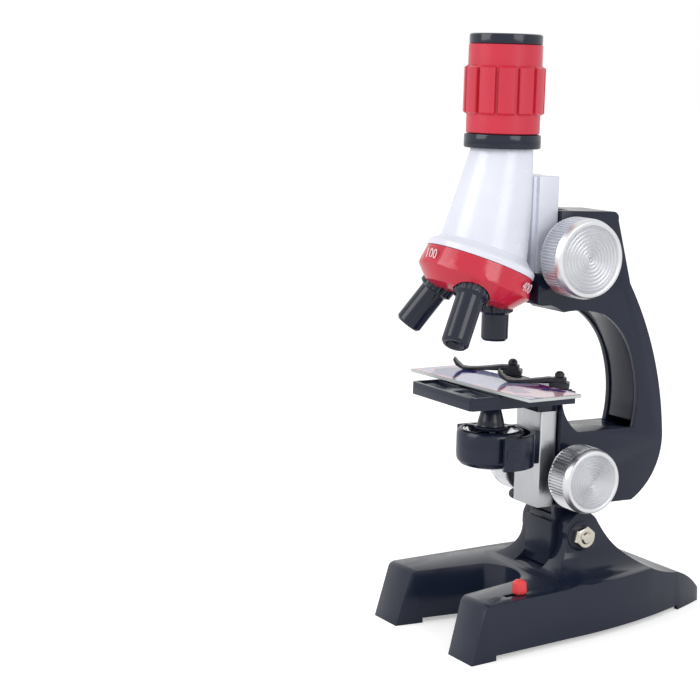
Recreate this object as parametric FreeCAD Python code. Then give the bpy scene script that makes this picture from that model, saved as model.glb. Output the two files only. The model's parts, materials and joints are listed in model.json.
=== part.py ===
import FreeCAD, Part
import math
import os
from FreeCAD import Vector, Rotation, Placement

# Toy teaching microscope.  Millimetres, +Z up, the front of the microscope faces -Y and the
# legs stand on Z = 0.  The tube's axis is X = 0, Y = 0 while the arm stands upright: every
# piece above the pivot is drawn upright and then leaned back about the pivot at the end.

# ---- driving dimensions -------------------------------------------------------------------
lean_deg = 2.7            # how far back the arm leans at rest
origin_y = 33.16          # middle of the whole thing's depth, where the finished frame starts
pivot_y = 34.4            # tilt pivot, seen from the side
pivot_z = 36.0
running_gap = 0.05        # radial clearance of every shaft that turns or slides in a hole
slip_gap = 0.15           # clearance of flat pieces that slide past each other
wall = 2.2                # moulded wall

base_height = 21.8        # flat top of the legs
toe_y = -30.5             # front tip of the toes, on the floor
toe_slope = 8.2           # how far the toe's top edge stands behind its tip
leg_outer = 36.0          # half width of the base at the toes
leg_outer_rear = 34.0     # half width where the straight sides end
side_end_y = 16.0
leg_inner = 19.5          # half width of the gap between the toes
leg_inner_rear = 12.8
crotch_y = 7.0            # where the gap's straight sides end
crotch_depth = 6.0
tail_end_y = 97.0
tail_corner_y = 93.5
tail_corner = 17.0
tail_foot = 19.0          # length of the foot under the tail
foot_height = 2.0         # the rim stands on feet this high
foot_length = 11.5        # feet under the two toes
switch_x = 28.0
switch_y = -3.4
bay_half = 27.2           # battery bay for two cells lying crosswise
bay_front = 16.6
bay_rear = 48.4
battery_radius = 7.25
battery_length = 50.5

ear_radius = 9.8
ear_front = 6.2           # how far the ears reach in front of the pivot
ear_inner = 8.6           # half width of the channel between the ears
tongue_radius = 9.6
tongue_drop = 13.2        # how far the arm's foot reaches below the pivot
cheek = 15.5              # half width over the ears
boss_rise = 0.6
boss_radius = 6.0
bolt_radius = 2.5
nut_across = 8.0
nut_thick = 3.6

arm_half = 10.5           # half width of the arm
eye_y = 36.0              # middle of the arm's oval opening
eye_z = 88.0
eye_half_y = 27.5
eye_half_z = 37.5
ledge_z = 77.0
head_top = 164.8
head_front = 22.0
head_bottom = 128.2
lip_front = 12.4
lip_top = 140.2
housing_front = 26.2
housing_bottom = 47.0
horn_top = 90.4
cover_half = 7.6          # half width of the strip that closes the arm's inner face
rail_half = 6.0           # half width of the rails that run in the arm's slots
rail_rear = 28.6

knob_thick = 12.6
hub_radius = 7.6
hub_end = 15.1            # half distance over the hubs the knobs turn against
shaft_radius = 1.6
focus_y = 24.4
focus_z = 147.6
focus_knob_radius = 15.5
stage_knob_y = 30.5
stage_knob_z = 60.5
stage_knob_radius = 13.1
tooth_module = 0.8
pinion_teeth = 10
pinion_half = 2.6

tube_top_z = 188.4
tube_top_radius = 12.0
mouth_depth = 8.0         # straight socket in the tube's mouth
slider_front = 11.0
slider_half = 8.2
slider_bottom = lip_top + 0.3
slider_top = 178.0
turret_lean_deg = 21.0
turret_y = -8.1           # middle of the tube's lower rim
turret_z = 144.5
rim_radius = 21.5
turret_wide = 22.5
turret_narrow = 17.6
turret_depth = 12.8
objective_reach_short = 51.5
objective_reach_middle = 57.5
objective_reach_long = 61.0
objective_radius = 5.3
collar_radius = 6.9

ring_radius = 14.75
grip_radius = 14.1
lobe_count = 12
lobe_half = 3.2
cap_radius = 13.95
ring_rise = 5.6           # from the tube's mouth to the foot of the grip
grip_length = 33.5
cap_thick = 4.0
eyepiece_top = tube_top_z + ring_rise + grip_length + cap_thick

stage_half = 21.4
stage_front = -23.9
stage_rear = 24.4
stage_bottom = 91.0
stage_top = 95.9
pad_rise = 0.7
glass_length = 76.2
glass_width = 25.4
glass_thick = 1.3
glass_turn_deg = 4.0
bar_half = 8.45
bar_front = 17.8
bar_rear = 25.8
bar_bottom = 47.3
bar_top = 85.8
rack_back = 22.6          # depth of the slot the rack sits in
peg_y = 19.8
peg_z = 48.9
clip_x = 16.0
clip_y = 20.4
clip_turn_deg = 230.5

dish_radius = 13.3
dish_bottom = 64.3
dish_top = 79.2
lamp_z = 71.7             # height of the lamp's trunnions
trunnion_radius = 2.0
trunnion_reach = 18.4
yoke_inner = 15.6
yoke_radius = 17.6
yoke_half = 6.4           # half height of the yoke
yoke_ahead_deg = 15.0     # how far the yoke's ends reach round in front of the trunnions
cone_top = 89.4

pitch_radius = tooth_module * pinion_teeth / 2
lean = math.radians(lean_deg)
turret_lean = math.radians(turret_lean_deg)
turret_down = Vector(0, -math.sin(turret_lean), -math.cos(turret_lean))
# The turret's axis and the tube's axis cross at this height.
apex_z = turret_z - turret_y / math.tan(turret_lean)


# ---- shape helpers ------------------------------------------------------------------------
def box(x0, x1, y0, y1, z0, z1):
    return Part.makeBox(x1 - x0, y1 - y0, z1 - z0, Vector(x0, y0, z0))


def rod(start, direction, radius, length):
    return Part.makeCylinder(radius, length, start, direction)


def rod_x(y, z, radius, x0, x1):
    return rod(Vector(x0, y, z), Vector(1, 0, 0), radius, x1 - x0)


def rod_z(x, y, radius, z0, z1):
    return rod(Vector(x, y, z0), Vector(0, 0, 1), radius, z1 - z0)


def closed_face(edges):
    wire = Part.Wire(Part.__sortEdges__(edges))
    return Part.Face(wire)


def line(a, b):
    return Part.LineSegment(a, b).toShape()


def arc(a, b, c):
    return Part.Arc(a, b, c).toShape()


def polygon(points):
    return Part.Face(Part.makePolygon(points + [points[0]]))


def side_polygon(points, half):
    """A prism across X from (y, z) points."""
    face = polygon([Vector(-half, y, z) for y, z in points])
    return face.extrude(Vector(2 * half, 0, 0))


def turned(profile):
    """A solid turned about Z from (radius, height) points."""
    face = polygon([Vector(r, 0, h) for r, h in profile])
    return face.revolve(Vector(0, 0, 0), Vector(0, 0, 1), 360)


def along(shape, origin, direction):
    """Moves a piece drawn about Z so that Z runs along a direction from an origin."""
    turn = Rotation(Vector(0, 0, 1), direction)
    moved = shape.copy()
    moved.Placement = Placement(origin, turn)
    return moved


def leaned(shape):
    """Leans an upright piece back about the pivot."""
    moved = shape.copy()
    moved.rotate(Vector(0, pivot_y, pivot_z), Vector(1, 0, 0), -lean_deg)
    return moved


def join(shapes):
    body = shapes[0]
    for other in shapes[1:]:
        body = body.fuse(other)
    return body.removeSplitter()


def export(name, shape):
    moved = shape.copy()
    moved.translate(Vector(0, -origin_y, 0))
    moved.exportStep("parts/" + name + ".step")


# ---- base ---------------------------------------------------------------------------------
def base_outline(inset, height):
    """The base's plan: two legs, a rounded crotch between them and a narrowing tail."""
    front = toe_y + inset
    out_front = leg_outer - inset
    out_rear = leg_outer_rear - inset
    gap_front = leg_inner + inset
    gap_rear = leg_inner_rear + inset
    bend = crotch_y + 0.6 * inset
    end = tail_end_y - inset
    corner = tail_corner - 0.7 * inset
    corner_y = tail_corner_y - 0.5 * inset
    edges = []
    for side in (-1, 1):
        edges.append(line(Vector(side * gap_front, front, 0), Vector(side * out_front, front, 0)))
        edges.append(line(Vector(side * out_front, front, 0), Vector(side * out_rear, side_end_y, 0)))
        edges.append(arc(Vector(side * out_rear, side_end_y, 0),
                         Vector(side * (30.6 - inset), 50, 0),
                         Vector(side * corner, corner_y, 0)))
        edges.append(line(Vector(side * gap_front, front, 0), Vector(side * gap_rear, bend, 0)))
    edges.append(arc(Vector(-corner, corner_y, 0), Vector(0, end, 0), Vector(corner, corner_y, 0)))
    edges.append(arc(Vector(-gap_rear, bend, 0),
                     Vector(0, crotch_y + crotch_depth + inset, 0),
                     Vector(gap_rear, bend, 0)))
    return closed_face(edges).extrude(Vector(0, 0, height))


def base_side(drop, half):
    """Side profile of the base, all over lowered by drop: toes, ears and sloping tail."""
    top = base_height - drop
    radius = ear_radius - drop
    foot = -1.0 if drop else 0.0
    p_toe = Vector(-half, toe_y + 1.1 * drop, foot)
    p_nose = Vector(-half, toe_y + toe_slope + 0.6 * drop - 1.6, top - 1.6)
    p_mid = Vector(-half, toe_y + toe_slope + 0.6 * drop - 0.35, top - 0.4)
    p_leg = Vector(-half, toe_y + toe_slope + 0.6 * drop + 1.6, top)
    p_flare = Vector(-half, pivot_y - 18.0, top)
    p_flare_mid = Vector(-half, pivot_y - 9.6 + 0.5 * drop, top + 5.0)
    p_ear_side = Vector(-half, pivot_y - ear_front + drop, pivot_z)
    p_ear_round = Vector(-half, pivot_y - 0.72 * ear_front + 0.7 * drop, pivot_z + 0.7071 * radius)
    p_ear_top = Vector(-half, pivot_y, pivot_z + radius)
    p_ear_back = Vector(-half, pivot_y + 0.8 * radius, pivot_z + 0.6 * radius)
    p_slope_mid = Vector(-half, pivot_y + 15.6 - drop, pivot_z - 5.0 - 0.5 * drop)
    p_slope_end = Vector(-half, pivot_y + 27.0, base_height - 0.5 - drop)
    p_tail_mid = Vector(-half, tail_end_y - 27.0, 18.0 - drop)
    p_tail = Vector(-half, tail_end_y - 18.8 - 0.5 * drop, 16.0 - drop)
    p_round = Vector(-half, tail_end_y - 9.0 - 0.8 * drop, 10.6 - drop)
    p_end = Vector(-half, tail_end_y - 0.8 * drop, 1.0)
    p_end_low = Vector(-half, tail_end_y - 0.8 * drop, foot)
    edges = [line(p_toe, p_nose), arc(p_nose, p_mid, p_leg), line(p_leg, p_flare),
             arc(p_flare, p_flare_mid, p_ear_side), arc(p_ear_side, p_ear_round, p_ear_top),
             arc(p_ear_top, Vector(-half, pivot_y + 0.4472 * radius, pivot_z + 0.8944 * radius), p_ear_back),
             arc(p_ear_back, p_slope_mid, p_slope_end), arc(p_slope_end, p_tail_mid, p_tail),
             arc(p_tail, p_round, p_end), line(p_end, p_end_low), line(p_end_low, p_toe)]
    return closed_face(edges).extrude(Vector(2 * half, 0, 0))


def base_front():
    """Front profile of the base: a slab with the ears' cheeks flaring out of it."""
    flare = 10.5
    y0 = toe_y - 5
    top = base_height
    high = pivot_z + ear_radius + 2
    spread = cheek + flare
    edges = [line(Vector(-40, y0, -2), Vector(40, y0, -2))]
    edges.append(line(Vector(-cheek, y0, high), Vector(cheek, y0, high)))
    for side in (-1, 1):
        edges.append(line(Vector(side * 40, y0, -2), Vector(side * 40, y0, top)))
        edges.append(line(Vector(side * 40, y0, top), Vector(side * spread, y0, top)))
        edges.append(arc(Vector(side * spread, y0, top),
                         Vector(side * (cheek + 0.3 * flare), y0, top + 0.3 * flare),
                         Vector(side * cheek, y0, top + flare)))
        edges.append(line(Vector(side * cheek, y0, top + flare), Vector(side * cheek, y0, high)))
    return closed_face(edges).extrude(Vector(0, tail_end_y - toe_y + 20, 0))


def screw_spots():
    return [(-25.5, -19.0), (25.5, -19.0), (-13.0, 74.0), (13.0, 74.0)]


def base_shell():
    outer = base_outline(0, 60).common(base_side(0, 40)).common(base_front())
    hollow = base_outline(wall, 60).common(base_side(wall, 40))
    hollow = hollow.common(box(-40, 40, -40, 120, -1, base_height - wall))
    body = outer.cut(hollow)
    for side in (-1, 1):
        x0 = min(side * (cheek - 1), side * (cheek + boss_rise))
        body = body.fuse(rod_x(pivot_y, pivot_z, boss_radius, x0, x0 + 1 + boss_rise))
    for x, y in screw_spots():
        post = rod_z(x, y, 3.0, foot_height + 2.0, base_height - 1.5 if y < 0 else base_height - 7.0)
        body = body.fuse(post)
        body = body.cut(rod_z(x, y, 1.2, foot_height, foot_height + 8.0))
    # The channel for the arm's tongue, its sweep and the pivot hole.
    body = body.cut(box(-ear_inner, ear_inner, 10, pivot_y, pivot_z - tongue_drop - 0.3, 60))
    body = body.cut(rod_x(pivot_y, pivot_z, tongue_drop + 0.5, -ear_inner, ear_inner))
    body = body.cut(box(-ear_inner, ear_inner, pivot_y - 2, pivot_y + tongue_drop, pivot_z, 60))
    body = body.cut(rod_x(pivot_y, pivot_z, bolt_radius + running_gap, -30, 30))
    # The rim is cut away between the three feet.
    body = body.cut(box(-40, 40, toe_y + foot_length, tail_end_y - tail_foot, -1, foot_height))
    # Slot for the switch's stem in the top of the right leg.
    body = body.cut(box(switch_x - 1.4, switch_x + 1.4, switch_y - 7.0, switch_y + 2.0, 10, 30))
    return body.removeSplitter()


def bottom_plate():
    plate = base_outline(wall + 0.1, 1.8)
    plate.translate(Vector(0, 0, foot_height + 0.2))
    plate = plate.common(base_side(wall + 0.1, 40))
    low = foot_height + 2.0
    tray = box(-bay_half - 1.6, bay_half + 1.6, bay_front - 1.2, bay_rear + 1.4, low - 1.0, low + 7.0)
    plate = plate.fuse(tray.common(base_outline(wall + 0.3, 30)))
    plate = plate.cut(box(-bay_half, bay_half, bay_front, bay_rear, 0, 30))
    for x, y in screw_spots():
        plate = plate.cut(rod_z(x, y, 1.7, 0, 8))
    return plate.removeSplitter()


def bottom_screws():
    profile = [(0, 0), (2.6, 0), (2.6, 1.5), (1.2, 1.5), (1.2, 6.4), (0, 7.4)]
    screws = []
    for x, y in screw_spots():
        screw = turned(profile)
        screw = screw.cut(box(-1.8, 1.8, -0.35, 0.35, -1, 0.7))
        screw = screw.cut(box(-0.35, 0.35, -1.8, 1.8, -1, 0.7))
        screw.translate(Vector(x, y, foot_height + 0.2 - 1.5))
        screws.append(screw)
    return Part.makeCompound(screws)


def battery_door():
    z0 = foot_height + 0.2
    door = box(-bay_half + slip_gap, bay_half - slip_gap, bay_front + slip_gap, bay_rear - slip_gap,
               z0, z0 + 1.6)
    for i in range(5):
        y = bay_front + 8 + 2.2 * i
        door = door.cut(box(-9, 9, y, y + 1.1, z0 - 1, z0 + 0.6))
    return door.removeSplitter()


def batteries():
    cells = []
    z = foot_height + 2.0 + battery_radius
    for i, y in enumerate((bay_front + 0.4 + battery_radius, bay_rear - 0.4 - battery_radius)):
        side = 1 if i else -1
        can = turned([(0, 0), (battery_radius - 0.5, 0), (battery_radius, 0.5),
                      (battery_radius, battery_length - 2.0), (battery_radius - 0.6, battery_length - 1.3),
                      (2.6, battery_length - 1.3), (2.6, battery_length), (0, battery_length)])
        cells.append(along(can, Vector(-side * battery_length / 2, y, z), Vector(side, 0, 0)))
    return Part.makeCompound(cells)


def battery_contacts():
    blades = []
    z = foot_height + 2.0 + battery_radius
    gap = bay_half - battery_length / 2
    for side in (-1, 1):
        for y in (bay_front + 0.4 + battery_radius, bay_rear - 0.4 - battery_radius):
            x0 = side * battery_length / 2
            x1 = side * (bay_half)
            blade = box(min(x1, x1 - side * 0.5), max(x1, x1 - side * 0.5), y - 5, y + 5,
                        foot_height + 2.4, z + 5)
            cone = Part.makeCone(2.0, 4.2, gap - 0.5, Vector(x0, y, z), Vector(side, 0, 0))
            blades.append(blade.fuse(cone))
    return Part.makeCompound(blades)


def switch_knob():
    profile = [(0, -5.6), (1.1, -5.6), (1.1, 0.25), (2.6, 0.25), (2.9, 1.0), (2.6, 4.6),
               (1.6, 5.4), (0, 5.6)]
    knob = turned(profile)
    for i in range(8):
        turn = math.radians(45 * i)
        knob = knob.cut(rod_z(3.3 * math.cos(turn), 3.3 * math.sin(turn), 0.6, 0.6, 6))
    knob.translate(Vector(switch_x, switch_y, base_height))
    return knob


def switch_body():
    case = box(switch_x - 3.4, switch_x + 3.4, switch_y - 9.0, switch_y + 4.0,
               base_height - 9.4, base_height - wall)
    case = case.cut(box(switch_x - 1.4, switch_x + 1.4, switch_y - 7.0, switch_y + 2.0,
                        base_height - 7.0, 30))
    return case


def pivot_bolt():
    reach = cheek + boss_rise
    head = along(turned([(0, 0), (4.3, 0), (4.3, 1.4), (2.9, 2.9), (0, 3.3)]),
                 Vector(-reach, pivot_y, pivot_z), Vector(-1, 0, 0))
    shank = rod_x(pivot_y, pivot_z, bolt_radius, -reach - 1, reach + nut_thick + 0.2)
    tip = along(turned([(0, 0), (bolt_radius, 0), (bolt_radius - 0.5, 0.8), (0, 1.0)]),
                Vector(reach + nut_thick + 0.2, pivot_y, pivot_z), Vector(1, 0, 0))
    body = join([shank, head, tip])
    slot = box(-reach - 4, -reach - 2.2, pivot_y - 4.5, pivot_y + 4.5, pivot_z - 0.5, pivot_z + 0.5)
    return body.cut(slot)


def hexagon(across, x0, x1):
    corner = across / math.sqrt(3)
    points = []
    for i in range(6):
        turn = math.radians(60 * i + 12)
        points.append(Vector(x0, pivot_y + corner * math.sin(turn), pivot_z + corner * math.cos(turn)))
    return polygon(points).extrude(Vector(x1 - x0, 0, 0))


def pivot_nut():
    start = cheek + boss_rise
    body = hexagon(nut_across, start, start + nut_thick)
    cone = along(turned([(0, 0), (5.4, 0), (5.4, nut_thick - 1.0), (3.8, nut_thick), (0, nut_thick)]),
                 Vector(start, pivot_y, pivot_z), Vector(1, 0, 0))
    return body.common(cone).cut(rod_x(pivot_y, pivot_z, bolt_radius, 0, 40))


# ---- arm ----------------------------------------------------------------------------------
def arm_profile(x):
    """The arm's side profile: head, bowed back, housing and the oval opening."""
    def at(y, z):
        return Vector(x, y, z)

    def on_eye(rise):
        """Point of the oval at a share of its half height above its middle."""
        return at(eye_y + eye_half_y * math.sqrt(1 - rise ** 2), eye_z + eye_half_z * rise)
    eye_top = eye_z + eye_half_z
    ledge = on_eye((ledge_z - eye_z) / eye_half_z)
    edges = []
    edges.append(line(at(head_front, head_top), at(47.0, head_top - 0.6)))
    edges.append(arc(at(47.0, head_top - 0.6), at(49.0, head_top - 1.5), at(49.6, head_top - 4.0)))
    edges.append(line(at(49.6, head_top - 4.0), at(57.0, 135.4)))
    edges.append(arc(at(57.0, 135.4), at(71.0, 105.4), at(77.0, 76.0)))
    edges.append(arc(at(77.0, 76.0), at(73.6, 57.8), at(63.0, housing_bottom)))
    edges.append(line(at(63.0, housing_bottom), at(housing_front, housing_bottom)))
    edges.append(line(at(housing_front, housing_bottom), at(housing_front, horn_top)))
    edges.append(arc(at(housing_front, horn_top), at(29.0, 82.4), at(34.5, ledge_z)))
    edges.append(line(at(34.5, ledge_z), ledge))
    edges.append(arc(ledge, on_eye(0), on_eye(0.426667)))
    edges.append(arc(on_eye(0.426667), on_eye(0.786667), on_eye(0.949333)))
    edges.append(arc(on_eye(0.949333), at(34.0, eye_top + 0.1), at(25.0, eye_top - 0.3)))
    edges.append(arc(at(25.0, eye_top - 0.3), at(22.0, eye_top + 1.5), at(18.5, head_bottom)))
    edges.append(line(at(18.5, head_bottom), at(lip_front + 2.0, head_bottom)))
    edges.append(arc(at(lip_front + 2.0, head_bottom), at(lip_front + 0.6, head_bottom + 0.6),
                     at(lip_front, head_bottom + 2.0)))
    edges.append(line(at(lip_front, head_bottom + 2.0), at(lip_front, lip_top)))
    edges.append(line(at(lip_front, lip_top), at(head_front, lip_top)))
    edges.append(line(at(head_front, lip_top), at(head_front, head_top)))
    return closed_face(edges)


def arm_cavity(x):
    """Hollow of the bowed back, open towards the oval opening."""
    def at(y, z):
        return Vector(x, y, z)
    edges = [line(at(46.0, 131.0), at(53.0, 136.0)), arc(at(53.0, 136.0), at(68.2, 105.0), at(74.2, 77.0)),
             arc(at(74.2, 77.0), at(71.6, 60.5), at(64.0, 51.5)), line(at(64.0, 51.5), at(50.0, 51.5)),
             line(at(50.0, 51.5), at(50.0, 68.0)), line(at(50.0, 68.0), at(60.0, 74.0)),
             line(at(60.0, 74.0), at(60.0, 104.0)), line(at(60.0, 104.0), at(46.0, 122.0)),
             line(at(46.0, 122.0), at(46.0, 131.0))]
    return closed_face(edges)


def eye_ring(inset, thick, half):
    """A band of the oval opening's back wall, between two ovals."""
    def oval(grow):
        edge = Part.Ellipse(Vector(0, 0, 0), eye_half_z + grow, eye_half_y + grow).toShape()
        face = Part.Face(Part.Wire([edge]))
        face.rotate(Vector(0, 0, 0), Vector(0, 1, 0), -90)
        face.translate(Vector(-half, eye_y, eye_z))
        return face.extrude(Vector(2 * half, 0, 0))
    band = oval(inset + thick).cut(oval(inset))
    return band.common(box(-half, half, eye_y + 8, eye_y + 60, ledge_z + 2, eye_z + eye_half_z + 2.5))


def arm_shell():
    body = arm_profile(-arm_half).extrude(Vector(2 * arm_half, 0, 0))
    body = body.cut(arm_cavity(-arm_half + wall).extrude(Vector(2 * (arm_half - wall), 0, 0)))
    body = body.cut(eye_ring(-0.5, 5.5, cover_half))
    # Tongue that turns between the ears.
    tongue_half = ear_inner - slip_gap
    tongue = rod_x(pivot_y, pivot_z, tongue_radius, -tongue_half, tongue_half)
    tongue = tongue.fuse(box(-tongue_half, tongue_half, housing_front + 0.4, pivot_y + 5.6, pivot_z,
                             housing_bottom + 3))
    tongue = tongue.fuse(box(-tongue_half, tongue_half, pivot_y - tongue_radius, pivot_y,
                             pivot_z - tongue_drop, pivot_z + 5.0))
    body = body.fuse(tongue)
    for y, z in ((focus_y, focus_z), (stage_knob_y, stage_knob_z)):
        for side in (-1, 1):
            body = body.fuse(rod(Vector(side * (arm_half - 0.5), y, z), Vector(side, 0, 0), hub_radius,
                                 hub_end - arm_half + 0.5))
    # Bores, pinion rooms and the slots of the two racks.
    for y, z in ((focus_y, focus_z), (stage_knob_y, stage_knob_z)):
        body = body.cut(rod_x(y, z, shaft_radius + running_gap, -30, 30))
        body = body.cut(rod_x(y, z, pitch_radius + 1.6, -pinion_half - 0.4, pinion_half + 0.4))
    body = body.cut(box(-6.2, 6.2, 0, head_front + 0.01, lip_top, head_top + 1))
    rail = rail_half + slip_gap
    body = body.cut(box(-rail, rail, head_front - 1, rail_rear + slip_gap, lip_top, head_top + 1))
    body = body.cut(box(-rail, rail, housing_front - 1, rail_rear + slip_gap, bar_bottom - 4.0,
                        horn_top + 1))
    body = body.cut(rod_x(pivot_y, pivot_z, bolt_radius + running_gap, -30, 30))
    return body.removeSplitter()


def arm_cover():
    return eye_ring(0.4, 2.6, cover_half)


# ---- rack and pinion ----------------------------------------------------------------------
def pinion(y, z):
    """A straight-toothed pinion on a shaft, its teeth made by one loop."""
    root = pitch_radius - 1.2 * tooth_module
    tip = pitch_radius + 0.9 * tooth_module
    body = rod_x(y, z, root, -pinion_half, pinion_half)
    half_pitch = math.pi * tooth_module / 2
    for i in range(pinion_teeth):
        turn = 360.0 / pinion_teeth * i
        points = [Vector(-pinion_half, -0.5 * half_pitch - 0.25, root - 0.3),
                  Vector(-pinion_half, 0.5 * half_pitch + 0.25, root - 0.3),
                  Vector(-pinion_half, 0.42 * half_pitch - 0.05, pitch_radius),
                  Vector(-pinion_half, 0.18 * half_pitch, tip),
                  Vector(-pinion_half, -0.18 * half_pitch, tip),
                  Vector(-pinion_half, -0.42 * half_pitch + 0.05, pitch_radius)]
        tooth = polygon(points).extrude(Vector(2 * pinion_half, 0, 0))
        tooth.rotate(Vector(0, 0, 0), Vector(1, 0, 0), turn + 90)
        tooth.translate(Vector(0, y, z))
        body = body.fuse(tooth)
    return body


def rack_teeth(y, z_mesh, z0, z1, half):
    """Rack teeth facing +Y on the pitch line y; a gap faces the pinion at height z_mesh."""
    pitch = math.pi * tooth_module
    depth = 1.15 * tooth_module
    height = 0.8 * tooth_module
    teeth = []
    first = math.ceil((z0 - z_mesh) / pitch + 0.5)
    last = math.floor((z1 - z_mesh) / pitch - 0.5)
    for i in range(first, last):
        z = z_mesh + pitch * (i + 0.5)
        points = [(y - depth - 0.2, z - 0.34 * pitch), (y - depth - 0.2, z + 0.34 * pitch),
                  (y, z + 0.21 * pitch), (y + height, z + 0.09 * pitch),
                  (y + height, z - 0.09 * pitch), (y, z - 0.21 * pitch)]
        teeth.append(side_polygon(points, half))
    return teeth


def knob_shaft(y, z, squares):
    reach = hub_end + squares
    body = rod_x(y, z, shaft_radius, -reach, reach)
    return join([body, pinion(y, z)])


def knob(radius, grooves):
    """A cupped control knob drawn about Z with its back at Z = 0: knurled side, ringed face."""
    lip = radius - 0.9
    profile = [(shaft_radius, 0.3), (hub_radius, 0.3), (hub_radius, 1.6), (radius - 2.2, 1.6),
               (radius - 2.2, 0), (radius - 0.3, 0), (radius, 0.5), (radius, knob_thick - 2.4),
               (radius - 0.3, knob_thick - 2.0), (radius - 0.3, knob_thick - 0.9),
               (lip, knob_thick), (lip - 1.0, knob_thick), (lip - 1.6, knob_thick - 0.7)]
    count = int((lip - 3.0) / 1.5)
    for i in range(count):
        r = lip - 1.6 - 1.5 * (i + 0.35)
        profile.append((r, knob_thick - 0.7))
        profile.append((r - 0.35, knob_thick - 1.05))
        profile.append((r - 0.7, knob_thick - 0.7))
    profile.append((0, knob_thick - 0.6))
    profile.append((0, knob_thick - 3.2))
    profile.append((shaft_radius, knob_thick - 3.2))
    body = turned(profile)
    for i in range(grooves):
        turn = 360.0 / grooves * i
        size = 0.55
        cutter = polygon([Vector(radius + 0.3, -size, 1.0), Vector(radius + 0.3, size, 1.0),
                          Vector(radius - 0.55, 0, 1.0)]).extrude(Vector(0, 0, knob_thick - 4.2))
        cutter.rotate(Vector(0, 0, 0), Vector(0, 0, 1), turn)
        body = body.cut(cutter)
    return body


def knob_at(y, z, radius, grooves, side):
    return along(knob(radius, grooves), Vector(side * hub_end, y, z), Vector(side, 0, 0))


# ---- tube, eyepiece and turret ------------------------------------------------------------
def circle_wire(centre, direction, radius):
    return Part.Wire([Part.makeCircle(radius, centre, direction)])


def tube_skin(shrink):
    """The bell of the tube: circles that grow and lean over towards the turret."""
    wires = [circle_wire(Vector(0, 0, tube_top_z), Vector(0, 0, 1), tube_top_radius - shrink)]
    for y, z, tilt, radius in ((-2.9, 169.5, 8.5, 14.7), (-6.9, 148.7, 18.5, 17.5)):
        turn = math.radians(tilt)
        wires.append(circle_wire(Vector(0, y, z), Vector(0, math.sin(turn), math.cos(turn)), radius - shrink))
    return Part.makeLoft(wires, True, False)


def turret_frame(shape):
    """Moves a piece drawn about Z, with Z = 0 at the tube's lower rim, on to the leaning axis."""
    return along(shape, Vector(0, turret_y, turret_z), turret_down)


def optical_tube():
    rim = turret_frame(turned([(0, -8.0), (14.5, -8.0), (17.6, -5.6), (18.9, -4.2),
                               (rim_radius - 0.7, -3.0), (rim_radius, -2.2), (rim_radius, -0.1),
                               (0, -0.1)]))
    body = tube_skin(0).fuse(rim)
    # The rim closes the tube's lower end but for its light hole.
    mouth_bottom = tube_top_z - mouth_depth
    inside = tube_skin(wall).cut(rod_z(0, 0, 40, mouth_bottom, tube_top_z + 3))
    body = body.cut(inside)
    body = body.cut(rod_z(0, 0, 5.2, 120, 160))
    body = body.cut(rod_z(0, 0, tube_top_radius - wall, mouth_bottom - 0.6, tube_top_z + 3))
    body = body.cut(turret_frame(rod_z(0, 0, 2.0, -12, 2)))
    body = body.cut(box(-30, 30, slider_front, 60, 100, slider_top))
    return body.removeSplitter()


def tube_slider():
    """The slide at the back of the tube, with its rail and the rack the focus pinion climbs."""
    rear = head_front - slip_gap
    body = box(-slider_half, slider_half, slider_front + 1.6, rear, slider_bottom, slider_top)
    neck = box(-slider_half + 1.6, slider_half - 1.6, slider_front, slider_front + 2, slider_bottom, slider_top)
    rail = box(-rail_half, rail_half, rear - 1, rail_rear, slider_bottom, head_top - 0.6)
    body = join([body, neck, rail])
    body = body.cut(box(-pinion_half - 0.6, pinion_half + 0.6, focus_y - pitch_radius - 0.9, 40,
                        slider_bottom - 1, slider_top + 1))
    line_y = focus_y - pitch_radius
    teeth = rack_teeth(line_y, focus_z, slider_bottom, head_top - 2, pinion_half + 0.7)
    body = body.cut(box(-rail_half - 1, rail_half + 1, focus_y - 2.1, 40, slider_bottom - 1, focus_z + 2.1))
    return join([body] + teeth)


def tube_collar():
    """Black ring on the tube's mouth that the grip turns in."""
    z0 = tube_top_z
    inner = tube_top_radius - wall - 0.05
    profile = [(inner - 1, z0), (ring_radius - 0.5, z0), (ring_radius, z0 + 0.5),
               (ring_radius, z0 + 4.9), (ring_radius - 0.5, z0 + 5.4), (11.2, z0 + 5.4),
               (11.2, z0 + 12.0), (inner - 1, z0 + 12.0)]
    spigot = turned([(8.4, z0 - 6.0), (inner, z0 - 6.0), (inner, z0 + 12.0), (8.4, z0 + 12.0)])
    return join([turned(profile), spigot])


def field_lens():
    z0 = tube_top_z + 8.0
    return turned([(0, z0 - 1.2), (5.0, z0 - 0.5), (8.4, z0), (8.4, z0 + 1.2), (0, z0 + 1.2)])


def eyepiece_grip():
    """Red grip: a plain band, twelve raised lobes and a plain band under the cap."""
    z0 = tube_top_z + ring_rise
    top = z0 + grip_length
    low = z0 + 7.2
    high = top - 8.1
    outer = turned([(11.35, z0), (grip_radius, z0), (grip_radius, top), (11.35, top)])
    lobes = []
    for i in range(lobe_count):
        turn = 360.0 / lobe_count * i
        lobe = box(grip_radius - 2.4, grip_radius + 1.25, -lobe_half, lobe_half, low, high)
        corner = [e for e in lobe.Edges if abs(e.BoundBox.XMin - grip_radius - 1.25) < 0.01]
        lobe = lobe.makeChamfer(0.9, corner)
        lobe.rotate(Vector(0, 0, 0), Vector(0, 0, 1), turn)
        lobes.append(lobe)
    return join([outer] + lobes)


def eyepiece_cap():
    z0 = eyepiece_top - cap_thick
    profile = [(11.3, z0 - 9.0), (11.3, z0), (cap_radius, z0), (cap_radius, z0 + 3.4),
               (cap_radius - 0.6, z0 + 4.0), (12.2, z0 + 4.0), (9.2, z0 + 1.0), (7.4, z0 + 0.6),
               (7.4, z0 - 2.0), (9.0, z0 - 2.0), (9.0, z0 - 9.0)]
    return turned(profile)


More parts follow.
